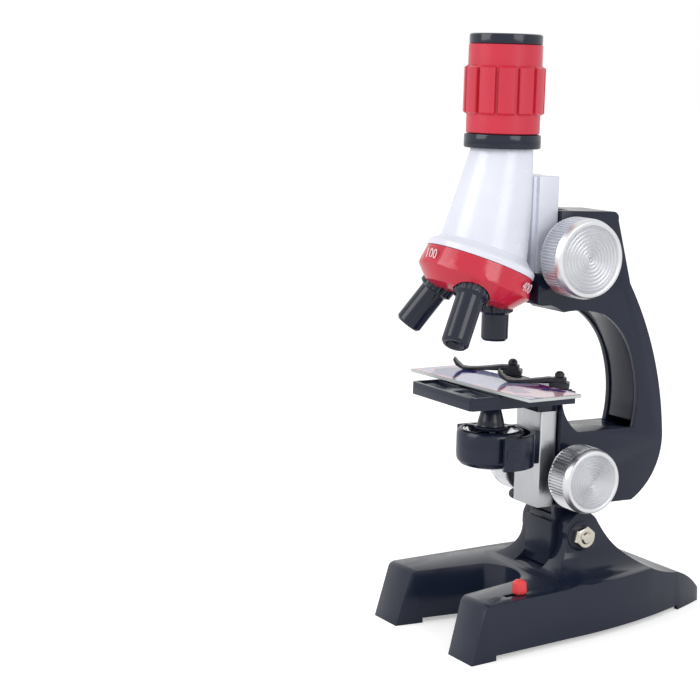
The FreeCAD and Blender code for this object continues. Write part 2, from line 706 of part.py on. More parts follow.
def eyepiece_lens():
    z0 = eyepiece_top - 6.0
    return turned([(0, z0 - 3.4), (5.0, z0 - 2.8), (9.0, z0 - 2.0), (9.0, z0), (0, z0)])


def objective_direction(turn_deg):
    """Direction of an objective that stands turn_deg round the turret from its front."""
    turn = math.radians(turn_deg)
    forward = Vector(0, -math.cos(turret_lean), math.sin(turret_lean))
    ahead = forward * math.cos(turn) + Vector(math.sin(turn), 0, 0)
    return turret_down * math.cos(turret_lean) + ahead * math.sin(turret_lean)


def seat_distance():
    """Distance from the apex to an objective's seat under the turret."""
    return (apex_height() + turret_depth - 2.0) / math.cos(turret_lean)


def apex_height():
    return (apex_z - turret_z) / math.cos(turret_lean)


def turret():
    """Red turret: turned body cut to twelve facets with a seat and a bore per objective."""
    body = turned([(0, 0.1), (rim_radius - 0.3, 0.1), (turret_wide, 7.4), (turret_narrow, turret_depth),
                   (13.0, turret_depth + 1.4), (0, turret_depth + 1.4)])
    corner = turret_wide / math.cos(math.radians(15)) * 0.985
    points = []
    for i in range(12):
        turn = math.radians(30 * i + 15)
        points.append(Vector(corner * math.cos(turn), corner * math.sin(turn), 0))
    prism = polygon(points).extrude(Vector(0, 0, 20))
    body = body.common(prism)
    inner = turned([(0, -1), (rim_radius - 2.4, -1), (rim_radius - 2.0, 7.4), (14.5, turret_depth - 2.2),
                    (0, turret_depth - 2.2)])
    core = rod_z(0, 0, 4.4, 0.1, turret_depth)
    body = turret_frame(body.cut(inner).fuse(core))
    body = body.cut(turret_frame(rod_z(0, 0, 1.5 + running_gap, -1, 30)))
    body = body.cut(turret_frame(rod_z(0, 0, 3.2, turret_depth - 1.0, 30)))
    apex = Vector(0, 0, apex_z)
    for turn in (180, 60, -60):
        axis = objective_direction(turn)
        body = body.cut(rod(apex + axis * (seat_distance() - 9), axis, 4.0, 30))
        body = body.cut(rod(apex + axis * seat_distance(), axis, collar_radius + 0.4, 12))
    return body.removeSplitter()


def turret_screw():
    profile = [(0, -9.0), (1.5, -9.0), (1.5, turret_depth - 1.0), (3.0, turret_depth - 1.0),
               (2.8, turret_depth + 0.6), (0, turret_depth + 1.2)]
    screw = turned(profile)
    screw = screw.cut(box(-0.4, 0.4, -4, 4, turret_depth + 0.4, turret_depth + 3))
    washer = turned([(0, -9.0), (2.0, -9.0), (2.0, -3.2), (0, -3.2)])
    return turret_frame(join([screw, washer]))


def objective(reach, turn_deg):
    """An objective: threaded stub, knurled collar, barrel and a hooded nose."""
    start = seat_distance()
    tip = reach - start
    profile = [(3.0, -4.0), (3.95, -4.0), (3.95, 0), (collar_radius, 0), (collar_radius, 4.2),
               (objective_radius + 0.4, 5.0), (objective_radius, 5.4), (objective_radius, tip - 1.0),
               (objective_radius - 0.8, tip), (3.4, tip), (2.0, tip - 1.8), (2.0, tip - 2.6),
               (3.0, tip - 2.6)]
    body = turned(profile)
    for i in range(20):
        spin = math.radians(18 * i)
        r = collar_radius + 0.35
        body = body.cut(rod_z(r * math.cos(spin), r * math.sin(spin), 0.65, 0.8, 4.4))
    return along(body, Vector(0, 0, apex_z) + objective_direction(turn_deg) * start,
                 objective_direction(turn_deg))


def objective_lenses():
    lenses = []
    for reach, turn in ((objective_reach_short, 180), (objective_reach_long, 60),
                        (objective_reach_middle, -60)):
        axis = objective_direction(turn)
        lens = turned([(0, -3.6), (3.0, -4.4), (3.0, -2.6), (0, -2.6)])
        lenses.append(along(lens, Vector(0, 0, apex_z) + axis * reach, axis))
    return Part.makeCompound(lenses)


# ---- stage --------------------------------------------------------------------------------
def stage_plate():
    cut = 1.2
    points = [Vector(-stage_half, stage_front + cut, stage_bottom),
              Vector(-stage_half + cut, stage_front, stage_bottom),
              Vector(stage_half - cut, stage_front, stage_bottom),
              Vector(stage_half, stage_front + cut, stage_bottom),
              Vector(stage_half, stage_rear, stage_bottom), Vector(-stage_half, stage_rear, stage_bottom)]
    body = polygon(points).extrude(Vector(0, 0, stage_top - stage_bottom))
    body = body.fuse(box(-stage_half + 1, stage_half - 1, -11.0, stage_rear - 1.0, stage_bottom,
                         stage_top + pad_rise))
    body = body.cut(box(-stage_half + 1.4, -stage_half + 18.0, stage_front + 1.6, -12.6, stage_top - 0.9, 99))
    body = body.cut(box(stage_half - 18.0, stage_half - 1.4, stage_front + 3.2, -12.6, stage_top - 0.9, 99))
    under = box(-stage_half + 2, stage_half - 2, stage_front + 2, bar_front - 2, stage_bottom - 1,
                stage_top - 2.4)
    body = body.cut(under.cut(rod_z(0, 0, 8.0, 80, 100)))
    body = body.fuse(box(-8, 8, bar_front - 1.4, bar_rear - 0.6, bar_top, stage_bottom + 2))
    body = body.cut(rod_z(0, 0, 4.5, 80, 110))
    for side in (-1, 1):
        body = body.cut(rod_z(side * clip_x, clip_y, 1.5, 80, 110))
        body = body.cut(rod_z(side * 4.5, (bar_front + bar_rear) / 2, 1.3, 80, 110))
    return body.removeSplitter()


def stage_carrier():
    """The bright bar that carries the stage and the lamp, with its rail and rack slot."""
    body = box(-bar_half, bar_half, bar_front, bar_rear, bar_bottom, bar_top)
    tall = [e for e in body.Edges if e.BoundBox.ZLength > 10]
    body = body.makeFillet(0.7, tall)
    for side in (-1, 1):
        body = body.cut(rod_z(side * 4.5, (bar_front + bar_rear) / 2, 1.3, bar_top - 8, 100))
    body = body.cut(box(-3.2, 3.2, rack_back, 40, bar_bottom - 1, bar_top + 1))
    body = body.cut(rod_x(peg_y, peg_z, 1.2, -bar_half - 1, -bar_half + 3))
    return body.removeSplitter()


def stage_rack():
    """The rack behind the bar: a back strip, its teeth and two guide lips in the arm's slot."""
    line_y = stage_knob_y - pitch_radius
    root = line_y - 1.15 * tooth_module
    strip = box(-3.2, 3.2, rack_back, root, bar_bottom, bar_top)
    teeth = rack_teeth(line_y, stage_knob_z, bar_bottom, bar_top, 3.2)
    return join([strip] + teeth)


def stage_rail():
    """Rail of two lips that keeps the bar in the arm's slot."""
    lips = []
    for side in (-1, 1):
        x0 = min(side * 3.6, side * rail_half)
        lips.append(box(x0, x0 + rail_half - 3.6, bar_rear, rail_rear, bar_bottom + 2, bar_top - 2))
    rail = Part.makeCompound(lips)
    return rail


def carrier_peg():
    profile = [(0, -3.0), (1.2, -3.0), (1.2, 0), (1.9, 0.2), (2.1, 1.6), (1.9, 3.2), (1.0, 3.9), (0, 4.0)]
    return along(turned(profile), Vector(-bar_half, peg_y, peg_z), Vector(-1, 0, 0))


def stage_screws():
    screws = []
    for side in (-1, 1):
        top = stage_top + pad_rise
        screw = turned([(0, -17.0), (1.3, -17.0), (1.3, -1.2), (1.3, 0), (0, 0)])
        screw.translate(Vector(side * 4.5, (bar_front + bar_rear) / 2, top - 0.1))
        screws.append(screw)
    return Part.makeCompound(screws)


def clip_frame(shape, side):
    moved = shape.copy()
    moved.rotate(Vector(0, 0, 0), Vector(0, 0, 1), clip_turn_deg)
    moved.translate(Vector(side * clip_x, clip_y, 0))
    return moved


def leaf_profile(thick):
    """Side view of the sprung leaf: it dips on to the slide and its tip curls up."""
    top = stage_top + pad_rise + glass_thick
    low = top + 0.15

    def at(u, z):
        return Vector(u, 0, z)
    lower = [arc(at(3.0, low + 2.2), at(11.0, low + 1.0), at(17.5, low)),
             arc(at(17.5, low), at(20.6, low + 0.9), at(24.4, low + 4.6))]
    upper = [arc(at(3.0, low + 2.2 + thick), at(11.0, low + 1.0 + thick), at(17.5, low + thick)),
             arc(at(17.5, low + thick), at(20.3, low + 0.9 + thick), at(23.9, low + 4.9 + thick))]
    caps = [line(at(3.0, low + 2.2), at(3.0, low + 2.2 + thick)),
            line(at(24.4, low + 4.6), at(23.9, low + 4.9 + thick))]
    return closed_face(lower + upper + caps)


def clip(side):
    """A stage clip: a moulded hub that swings on its post and the leaf it presses down."""
    base = stage_top + pad_rise + 0.1
    top = base + glass_thick + 3.0
    leaf = leaf_profile(1.0).extrude(Vector(0, 6.4, 0))
    leaf.translate(Vector(0, -3.2, 0))
    tip = rod_z(20.0, 0, 6.2, 90, 110).fuse(box(-10, 20.0, -4, 4, 90, 110))
    leaf = leaf.common(tip)
    hub = box(-3.6, 4.2, -4.0, 4.0, base, top)
    hub = hub.cut(rod_z(0, 0, 1.5 + running_gap, 80, 110))
    leaf = leaf.cut(rod_z(0, 0, 1.5 + running_gap, 80, 110))
    return clip_frame(join([hub, leaf]), side)


def clip_posts():
    posts = []
    head = stage_top + pad_rise + glass_thick + 3.6
    for side in (-1, 1):
        post = turned([(0, stage_bottom), (1.5, stage_bottom), (1.5, head), (2.2, head),
                       (2.0, head + 0.9), (1.2, head + 1.5), (0, head + 1.7)])
        post.translate(Vector(side * clip_x, clip_y, 0))
        posts.append(post)
    return Part.makeCompound(posts)


def specimen_slide():
    z0 = stage_top + pad_rise
    half = glass_length / 2
    glass = box(-half, half, -glass_width / 2, glass_width / 2, z0, z0 + glass_thick)
    tall = [e for e in glass.Edges if e.BoundBox.ZLength > 0.9 * glass_thick]
    glass = glass.makeFillet(0.6, tall)
    glass.rotate(Vector(0, 0, 0), Vector(0, 0, 1), glass_turn_deg)
    glass.translate(Vector(0, 0.4, 0))
    return glass


# ---- lamp ---------------------------------------------------------------------------------
def lamp_bracket():
    """Yoke round the back of the dish with a bore at either end, on a block on the bar."""
    low = lamp_z - yoke_half
    high = lamp_z + yoke_half
    body = rod_z(0, 0, yoke_radius, low, high)
    ahead = 30.0
    aside = ahead / math.tan(math.radians(yoke_ahead_deg))
    mouth = polygon([Vector(0, 0, low - 1), Vector(aside, -ahead, low - 1), Vector(-aside, -ahead, low - 1)])
    body = body.cut(mouth.extrude(Vector(0, 0, 2 * yoke_half + 2)))
    for side in (-1, 1):
        body = body.fuse(rod(Vector(side * yoke_inner, 0, lamp_z), Vector(side, 0, 0), 3.6,
                             trunnion_reach - yoke_inner))
    body = body.fuse(box(-bar_half + 0.2, bar_half - 0.2, yoke_inner - 3.0, bar_front, low, high))
    body = body.cut(rod_z(0, 0, yoke_inner, low - 1, high + 1))
    body = body.cut(rod_x(0, lamp_z, trunnion_radius + running_gap, -30, 30))
    return body.removeSplitter()


def lamp_housing():
    """Round dish with a rounded bottom, a room for the lamp above and a mirror seat below."""
    low = dish_bottom
    outer = turned([(0, low), (dish_radius - 2.4, low), (dish_radius - 0.8, low + 0.8),
                    (dish_radius, low + 2.6), (dish_radius, dish_top - 1.6),
                    (dish_radius - 0.6, dish_top - 0.4), (dish_radius - 1.4, dish_top),
                    (dish_radius - 2.0, dish_top), (dish_radius - 2.4, dish_top - 1.0),
                    (7.0, dish_top - 7.0), (4.2, dish_top - 7.0), (4.2, dish_top - 9.4), (0, dish_top - 9.4)])
    outer = outer.cut(turned([(0, low - 1), (dish_radius - 3.4, low - 1), (dish_radius - 3.4, low + 1.6),
                              (0, low + 1.6)]))
    for side in (-1, 1):
        start = Vector(side * (dish_radius - 1.5), 0, lamp_z)
        outer = outer.fuse(rod(start, Vector(side, 0, 0), trunnion_radius,
                               trunnion_reach - 0.4 - dish_radius + 1.5))
    return outer.removeSplitter()


def lamp_reflector():
    top = dish_top
    profile = [(dish_radius - 2.4, top - 0.9), (dish_radius - 2.4, top - 0.3), (dish_radius - 2.8, top - 0.3),
               (7.2, top - 6.2), (4.2, top - 6.4), (4.2, top - 7.0), (7.0, top - 7.0)]
    return turned(profile)


def lamp_bulb():
    low = dish_top - 9.4
    return turned([(0, low), (4.0, low), (4.0, low + 1.4), (2.5, low + 1.6), (2.5, low + 5.2),
                   (1.8, low + 6.8), (0, low + 7.6)])


def lamp_cone():
    """Bell-shaped light cone that stands on the reflector with its flange on the dish's rim."""
    low = dish_top - 0.3
    outer = [(4.4, low), (6.5, low), (6.5, low + 1.2), (5.5, low + 1.5), (5.1, low + 3.4),
             (4.2, low + 6.8), (3.0, cone_top), (2.2, cone_top), (2.3, cone_top - 1.0), (4.1, low + 1.6)]
    body = turned(outer)
    for i in range(3):
        spoke = box(5.6, dish_radius - 2.45, -1.1, 1.1, low, low + 0.9)
        spoke.rotate(Vector(0, 0, 0), Vector(0, 0, 1), 120 * i + 90)
        body = body.fuse(spoke)
    return body.removeSplitter()


def lamp_mirror():
    return turned([(0, dish_bottom + 0.4), (dish_radius - 3.4, dish_bottom + 0.4),
                   (dish_radius - 3.4, dish_bottom + 1.6), (0, dish_bottom + 1.6)])


# ---- build --------------------------------------------------------------------------------
def standing_pieces():
    return {"base_shell": base_shell(), "bottom_plate": bottom_plate(), "bottom_screws": bottom_screws(),
            "battery_door": battery_door(), "batteries": batteries(), "battery_contacts": battery_contacts(),
            "switch_knob": switch_knob(), "switch_body": switch_body(), "pivot_bolt": pivot_bolt(),
            "pivot_nut": pivot_nut()}


def leaning_pieces():
    pieces = {"arm_shell": arm_shell(), "arm_cover": arm_cover(),
              "focus_shaft": knob_shaft(focus_y, focus_z, knob_thick - 3.4),
              "stage_shaft": knob_shaft(stage_knob_y, stage_knob_z, knob_thick - 3.4),
              "optical_tube": optical_tube(), "tube_slider": tube_slider(), "tube_collar": tube_collar(),
              "field_lens": field_lens(), "eyepiece_grip": eyepiece_grip(), "eyepiece_cap": eyepiece_cap(),
              "eyepiece_lens": eyepiece_lens(), "turret": turret(), "turret_screw": turret_screw(),
              "objective_short": objective(objective_reach_short, 180),
              "objective_long": objective(objective_reach_long, 60),
              "objective_middle": objective(objective_reach_middle, -60),
              "objective_lenses": objective_lenses(), "stage_plate": stage_plate(),
              "stage_carrier": stage_carrier(), "stage_rack": stage_rack(), "stage_rail": stage_rail(),
              "carrier_peg": carrier_peg(), "stage_screws": stage_screws(), "clip_posts": clip_posts(),
              "specimen_slide": specimen_slide(), "lamp_bracket": lamp_bracket(),
              "lamp_housing": lamp_housing(), "lamp_reflector": lamp_reflector(), "lamp_bulb": lamp_bulb(),
              "lamp_cone": lamp_cone(), "lamp_mirror": lamp_mirror()}
    for side, word in ((-1, "left"), (1, "right")):
        pieces["focus_knob_" + word] = knob_at(focus_y, focus_z, focus_knob_radius, 48, side)
        pieces["stage_knob_" + word] = knob_at(stage_knob_y, stage_knob_z, stage_knob_radius, 42, side)
        pieces["clip_" + word] = clip(side)
    return pieces


def main():
    os.makedirs("parts", exist_ok=True)
    for name, shape in standing_pieces().items():
        export(name, shape)
    for name, shape in leaning_pieces().items():
        export(name, leaned(shape))


main()
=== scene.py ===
import json
import math

import bmesh
import bpy
from mathutils import Matrix, Vector

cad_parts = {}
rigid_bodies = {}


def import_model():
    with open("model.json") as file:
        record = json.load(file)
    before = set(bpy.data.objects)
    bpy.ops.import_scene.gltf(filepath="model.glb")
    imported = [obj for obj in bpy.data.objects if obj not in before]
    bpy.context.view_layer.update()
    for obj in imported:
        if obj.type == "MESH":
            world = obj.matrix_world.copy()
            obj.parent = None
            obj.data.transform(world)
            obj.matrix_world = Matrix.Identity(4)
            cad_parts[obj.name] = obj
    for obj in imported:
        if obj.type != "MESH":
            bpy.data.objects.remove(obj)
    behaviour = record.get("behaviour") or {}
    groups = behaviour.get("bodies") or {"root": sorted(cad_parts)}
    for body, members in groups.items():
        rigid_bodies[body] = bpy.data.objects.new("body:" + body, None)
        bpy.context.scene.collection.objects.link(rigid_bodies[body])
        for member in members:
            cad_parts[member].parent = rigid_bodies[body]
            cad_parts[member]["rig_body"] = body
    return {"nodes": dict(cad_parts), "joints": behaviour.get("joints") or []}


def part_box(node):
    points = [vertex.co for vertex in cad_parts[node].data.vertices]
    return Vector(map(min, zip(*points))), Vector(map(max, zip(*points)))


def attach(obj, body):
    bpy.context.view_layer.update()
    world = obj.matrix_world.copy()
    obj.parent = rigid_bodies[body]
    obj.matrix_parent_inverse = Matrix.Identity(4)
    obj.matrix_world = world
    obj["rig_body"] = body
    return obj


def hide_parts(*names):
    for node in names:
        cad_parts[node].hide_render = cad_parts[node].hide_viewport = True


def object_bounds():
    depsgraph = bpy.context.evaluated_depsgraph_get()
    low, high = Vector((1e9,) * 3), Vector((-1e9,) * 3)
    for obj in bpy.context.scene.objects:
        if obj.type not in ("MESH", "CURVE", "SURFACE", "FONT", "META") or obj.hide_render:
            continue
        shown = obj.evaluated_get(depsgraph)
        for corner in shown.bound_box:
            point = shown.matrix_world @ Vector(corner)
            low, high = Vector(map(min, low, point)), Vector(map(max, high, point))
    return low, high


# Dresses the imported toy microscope.  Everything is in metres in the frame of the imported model:
# Z up, the legs point to -Y, and the tube leans back a little with the arm.

bl_info = {
    "name": "Toy microscope dresser",
    "version": (1, 0, 0),
    "blender": (4, 5, 0),
    "location": "View3D > Sidebar > Microscope",
    "description": "Rounds, details and finishes every piece of a toy teaching microscope",
    "category": "Object",
}

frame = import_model()
cad_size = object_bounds()
MM = 0.001


# ---- where things are ----------------------------------------------------------------------
def joint(name):
    """The record's joint of that name."""
    return [j for j in frame["joints"] if j["name"] == name][0]


def reach(name, origin, axis):
    """Lowest and highest point of a node along an axis, and how far it stands out from it."""
    points = [v.co - origin for v in frame["nodes"][name].data.vertices]
    along = [p.dot(axis) for p in points]
    out = [(p - axis * p.dot(axis)).length for p in points]
    return min(along), max(along), max(out)


TUBE_UP = Vector(joint("eyepiece_turn")["axis"]).normalized()
TUBE_AT = Vector(joint("eyepiece_turn")["pos_m"])
TURRET_DOWN = Vector(joint("turret_turn")["axis"]).normalized()
TURRET_AT = Vector(joint("turret_turn")["pos_m"])
FOCUS_AT = Vector(joint("focus_turn")["pos_m"])
STAGE_KNOB_AT = Vector(joint("stage_turn")["pos_m"])
LAMP_AT = Vector(joint("lamp_flip")["pos_m"])


def seat(origin, axis, side=Vector((1, 0, 0))):
    """The turn and place that bring a piece made about Z on to an axis."""
    z = axis.normalized()
    x = (side - z * side.dot(z)).normalized()
    y = z.cross(x)
    return Matrix.Translation(origin) @ Matrix((x, y, z)).transposed().to_4x4()


# ---- making meshes -------------------------------------------------------------------------
def finished(bm, name, material, smooth_deg=38.0):
    """Turns a bmesh into an object at the origin with one material and smooth shading."""
    bmesh.ops.remove_doubles(bm, verts=bm.verts, dist=0.002 * MM)
    bmesh.ops.recalc_face_normals(bm, faces=bm.faces)
    mesh = bpy.data.meshes.new(name)
    bm.to_mesh(mesh)
    bm.free()
    mesh.shade_smooth()
    mesh.set_sharp_from_angle(angle=math.radians(smooth_deg))
    mesh.materials.append(material)
    piece = bpy.data.objects.new(name, mesh)
    bpy.context.scene.collection.objects.link(piece)
    return piece


def spun(profile, steps, place):
    """A bmesh turned about Z from (radius, height) points in millimetres, then put in place."""
    bm = bmesh.new()
    points = [bm.verts.new((r * MM, 0, z * MM)) for r, z in profile]
    edges = [bm.edges.new(pair) for pair in zip(points, points[1:])]
    bmesh.ops.spin(bm, geom=points + edges, cent=(0, 0, 0), axis=(0, 0, 1),
                   angle=math.tau, steps=steps, use_merge=True)
    bmesh.ops.remove_doubles(bm, verts=bm.verts, dist=0.002 * MM)
    bmesh.ops.transform(bm, matrix=place, verts=bm.verts)
    return bm


def from_node(name):
    """A bmesh copy of a node with its loose triangles merged and its flats made whole."""
    bm = bmesh.new()
    bm.from_mesh(frame["nodes"][name].data)
    bmesh.ops.remove_doubles(bm, verts=bm.verts, dist=0.001 * MM)
    bmesh.ops.dissolve_limit(bm, angle_limit=math.radians(0.4), verts=bm.verts, edges=bm.edges,
                             use_dissolve_boundaries=False)
    return bm


def soften(bm, width_mm, angle_deg=28.0, segments=2):
    """Breaks the sharp edges, as a mould or a file leaves them."""
    sharp = [e for e in bm.edges if len(e.link_faces) == 2
             and e.calc_face_angle(0) > math.radians(angle_deg)]
    bmesh.ops.bevel(bm, geom=sharp, offset=width_mm * MM, offset_type="OFFSET", segments=segments,
                    affect="EDGES", profile=0.5, material=-1, clamp_overlap=True,
                    loop_slide=True, miter_outer="SHARP", miter_inner="SHARP")
    return bm


def sliced(bm, origin, axis, heights_mm):
    """Cuts edge loops across a shape at heights along an axis, so that it can be reshaped."""
    for height in heights_mm:
        bmesh.ops.bisect_plane(bm, geom=bm.verts[:] + bm.edges[:] + bm.faces[:], dist=0.001 * MM,
                               plane_co=origin + axis * height * MM, plane_no=axis)
    return bm


def gathered(*parts):
    """Puts several closed shells into one bmesh."""
    whole = bmesh.new()
    for bm in parts:
        mesh = bpy.data.meshes.new("part")
        bm.to_mesh(mesh)
        bm.free()
        whole.from_mesh(mesh)
        bpy.data.meshes.remove(mesh)
    return whole


def stand_for(piece, *nodes):
    """The piece moves with its nodes' body and is shown in their place, with the nodes hidden."""
    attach(piece, frame["nodes"][nodes[0]]["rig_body"])
    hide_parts(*nodes)
    return piece


# ---- materials -----------------------------------------------------------------------------
def linear(code):
    """An sRGB hex colour as linear red, green and blue."""
    parts = [int(code[i:i + 2], 16) / 255 for i in (1, 3, 5)]
    return tuple(c / 12.92 if c <= 0.04045 else ((c + 0.055) / 1.055) ** 2.4 for c in parts)


def add(tree, kind, settings=None, inputs=None):
    """Adds a shader node, sets its settings, and sets or links its inputs."""
    made = tree.nodes.new(kind)
    for name, value in (settings or {}).items():
        setattr(made, name, value)
    for name, value in (inputs or {}).items():
        if isinstance(value, bpy.types.NodeSocket):
            tree.links.new(value, made.inputs[name])
        else:
            made.inputs[name].default_value = value
    return made


def noise(tree, place, cell_mm, detail, roughness=0.5):
    """Soft noise whose cells are that many millimetres wide, as a value from 0 to 1."""
    return add(tree, "ShaderNodeTexNoise", None,
               {"Vector": place, "Scale": 1.0 / (cell_mm * MM), "Detail": detail,
                "Roughness": roughness}).outputs["Fac"]


def spread(tree, value, low, high, start=0.0, stop=1.0):
    """Spreads a value that runs from start to stop over low to high."""
    return add(tree, "ShaderNodeMapRange", None,
               {"Value": value, "From Min": start, "From Max": stop, "To Min": low,
                "To Max": high}).outputs["Result"]


def two_tone(tree, mix, colour, darker, lighter, lift=0.0):
    """Lets a colour drift between a darker and a lighter tone of itself."""
    return add(tree, "ShaderNodeMixRGB", None,
               {"Fac": mix, "Color1": (*[c * darker for c in colour], 1),
                "Color2": (*[min(1, c * lighter + lift) for c in colour], 1)}).outputs["Color"]


def relief(tree, height, strength, depth_mm):
    """A bump of that depth made from a height value."""
    return add(tree, "ShaderNodeBump", None,
               {"Height": height, "Strength": strength,
                "Distance": depth_mm * MM}).outputs["Normal"]


def started(name):
    """A material of that name with its coordinates and shader ready, or None if it exists."""
    if name in bpy.data.materials:
        return None
    made = bpy.data.materials.new(name)
    made.use_nodes = True
    tree = made.node_tree
    tree.nodes.clear()
    place = add(tree, "ShaderNodeTexCoord").outputs["Object"]
    shader = add(tree, "ShaderNodeBsdfPrincipled")
    add(tree, "ShaderNodeOutputMaterial", None, {"Surface": shader.outputs["BSDF"]})
    return tree, place, shader


def feed(tree, shader, **inputs):
    """Sets or links a shader's inputs; an underscore stands for the space in a name."""
    for name, value in inputs.items():
        socket = shader.inputs[name.replace("_", " ")]
        if isinstance(value, bpy.types.NodeSocket):
            tree.links.new(value, socket)
        else:
            socket.default_value = value


def polished_abs(name, colour, rough=0.16, haze=0.12, peel=0.05, shine=0.5):
    """ABS from a polished mould: a clear reflection over even colour, which goes milky where
    hands have been and ripples faintly like orange peel."""
    begun = started(name)
    if begun:
        tree, place, shader = begun
        flow = noise(tree, place, 26, 3.0)
        touch = noise(tree, place, 9, 6.0, 0.6)
        skin = noise(tree, place, 1.8, 2.0)
        feed(tree, shader, Base_Color=two_tone(tree, flow, colour, 0.86, 1.12, 0.001),
             Roughness=spread(tree, touch, rough, rough + haze, 0.35, 0.75),
             Normal=relief(tree, skin, peel, 0.05), IOR=1.53, Specular_IOR_Level=shine)
    return bpy.data.materials[name]


def grained_plastic(name, colour, grain_mm=0.5, rough=0.45, relief_mm=0.03):
    """Plastic from a spark-eroded mould: a fine pebble that scatters the light to a satin."""
    begun = started(name)
    if begun:
        tree, place, shader = begun
        pebble = add(tree, "ShaderNodeTexVoronoi", None,
                     {"Vector": place, "Scale": 1.0 / (grain_mm * MM)}).outputs["Distance"]
        broad = noise(tree, place, 14, 4.0)
        feed(tree, shader, Base_Color=two_tone(tree, broad, colour, 0.8, 1.15, 0.002),
             Roughness=spread(tree, broad, rough - 0.08, rough + 0.1),
             Normal=relief(tree, pebble, 0.35, relief_mm), IOR=1.5)
    return bpy.data.materials[name]


def metal_skin(name, colour, rough, mark_mm, haze, marked=0.03, streak=(1, 1, 1)):
    """Bright metal, solid or vacuum-plated on plastic: it mirrors the room with a slight haze,
    and fine marks run along the way it was made or turned."""
    begun = started(name)
    if begun:
        tree, place, shader = begun
        lay = add(tree, "ShaderNodeMapping", None, {"Vector": place, "Scale": streak})
        marks = noise(tree, lay.outputs["Vector"], mark_mm, 5.0, 0.65)
        broad = noise(tree, place, 11, 3.0)
        feed(tree, shader, Base_Color=two_tone(tree, broad, colour, 0.88, 1.08), Metallic=1.0,
             Roughness=spread(tree, marks, rough, rough + haze, 0.3, 0.7),
             Normal=relief(tree, marks, marked, 0.1))
    return bpy.data.materials[name]


def clear_glass(name, colour, rough=0.02, ior=1.52):
    """Glass or clear acrylic, polished: a bright rim, a clear body and a few faint smears."""
    begun = started(name)
    if begun:
        tree, place, shader = begun
        smear = noise(tree, place, 7, 4.0)
        feed(tree, shader, Base_Color=(*colour, 1), IOR=ior, Transmission_Weight=1.0,
             Roughness=spread(tree, smear, rough, rough + 0.12, 0.5, 0.8))
    return bpy.data.materials[name]


def stained_section(name, base, first, second, third, warm):
    """A thin tissue section stained for the microscope: soft lobes of violet and pink with cell
    walls between them, under a glossy cover."""
    begun = started(name)
    if begun:
        tree, place, shader = begun
        bend = add(tree, "ShaderNodeTexNoise", None,
                   {"Vector": place, "Scale": 1.0 / (16 * MM), "Detail": 2.0})
        moved = add(tree, "ShaderNodeMixRGB", {"blend_type": "LINEAR_LIGHT"},
                    {"Fac": 0.012, "Color1": place, "Color2": bend.outputs["Color"]})
        patches = add(tree, "ShaderNodeTexVoronoi", {"feature": "SMOOTH_F1"},
                      {"Vector": moved.outputs["Color"], "Scale": 1.0 / (13 * MM),
                       "Smoothness": 0.35})
        split = add(tree, "ShaderNodeSeparateColor", None, {"Color": patches.outputs["Color"]})
        ramp = add(tree, "ShaderNodeValToRGB", None, {"Fac": split.outputs["Red"]})
        stops = ramp.color_ramp.elements
        stops[0].position, stops[0].color = 0.2, (*first, 1)
        stops[1].position, stops[1].color = 0.62, (*base, 1)
        for where, colour in ((0.3, second), (0.4, third), (0.48, warm)):
            stops.new(where).color = (*colour, 1)
        cells = add(tree, "ShaderNodeTexVoronoi", {"feature": "DISTANCE_TO_EDGE"},
                    {"Vector": moved.outputs["Color"], "Scale": 1.0 / (1.7 * MM)})
        walls = spread(tree, cells.outputs["Distance"], 0.72, 1.0, 0.0, 0.12)
        drawn = add(tree, "ShaderNodeMixRGB", {"blend_type": "MULTIPLY"},
                    {"Fac": 0.6, "Color1": ramp.outputs["Color"], "Color2": walls})
        feed(tree, shader, Base_Color=drawn.outputs["Color"], Roughness=0.12, IOR=1.5,
             Coat_Weight=0.6, Coat_Roughness=0.04)
    return bpy.data.materials[name]


def cell_sleeve(name, low_end, high_end, edge_x):
    """Shrink-wrapped print on a battery's steel can: two bands of satin colour, finely creased."""
    begun = started(name)
    if begun:
        tree, place, shader = begun
        parts = add(tree, "ShaderNodeSeparateXYZ", None, {"Vector": place})
        band = add(tree, "ShaderNodeMath", {"operation": "GREATER_THAN"},
                   {0: parts.outputs["X"], 1: edge_x})
        tint = add(tree, "ShaderNodeMixRGB", None,
                   {"Fac": band.outputs["Value"], "Color1": (*low_end, 1),
                    "Color2": (*high_end, 1)})
        feed(tree, shader, Base_Color=tint.outputs["Color"], Metallic=0.35,
             Roughness=spread(tree, noise(tree, place, 3, 4.0), 0.25, 0.45))
    return bpy.data.materials[name]


# ---- settings a user may change -------------------------------------------------------------
def colour_setting(label, text, code):
    """A colour that a user may change, given as an sRGB hex code."""
    return bpy.props.FloatVectorProperty(name=label, description=text, subtype="COLOR", size=3,
                                         min=0.0, max=1.0, default=linear(code))


def length_setting(label, text, millimetres):
    """A length that a user may change, given in millimetres."""
    return bpy.props.FloatProperty(name=label, description=text, unit="LENGTH", subtype="DISTANCE",
                                   precision=5, default=millimetres * MM)


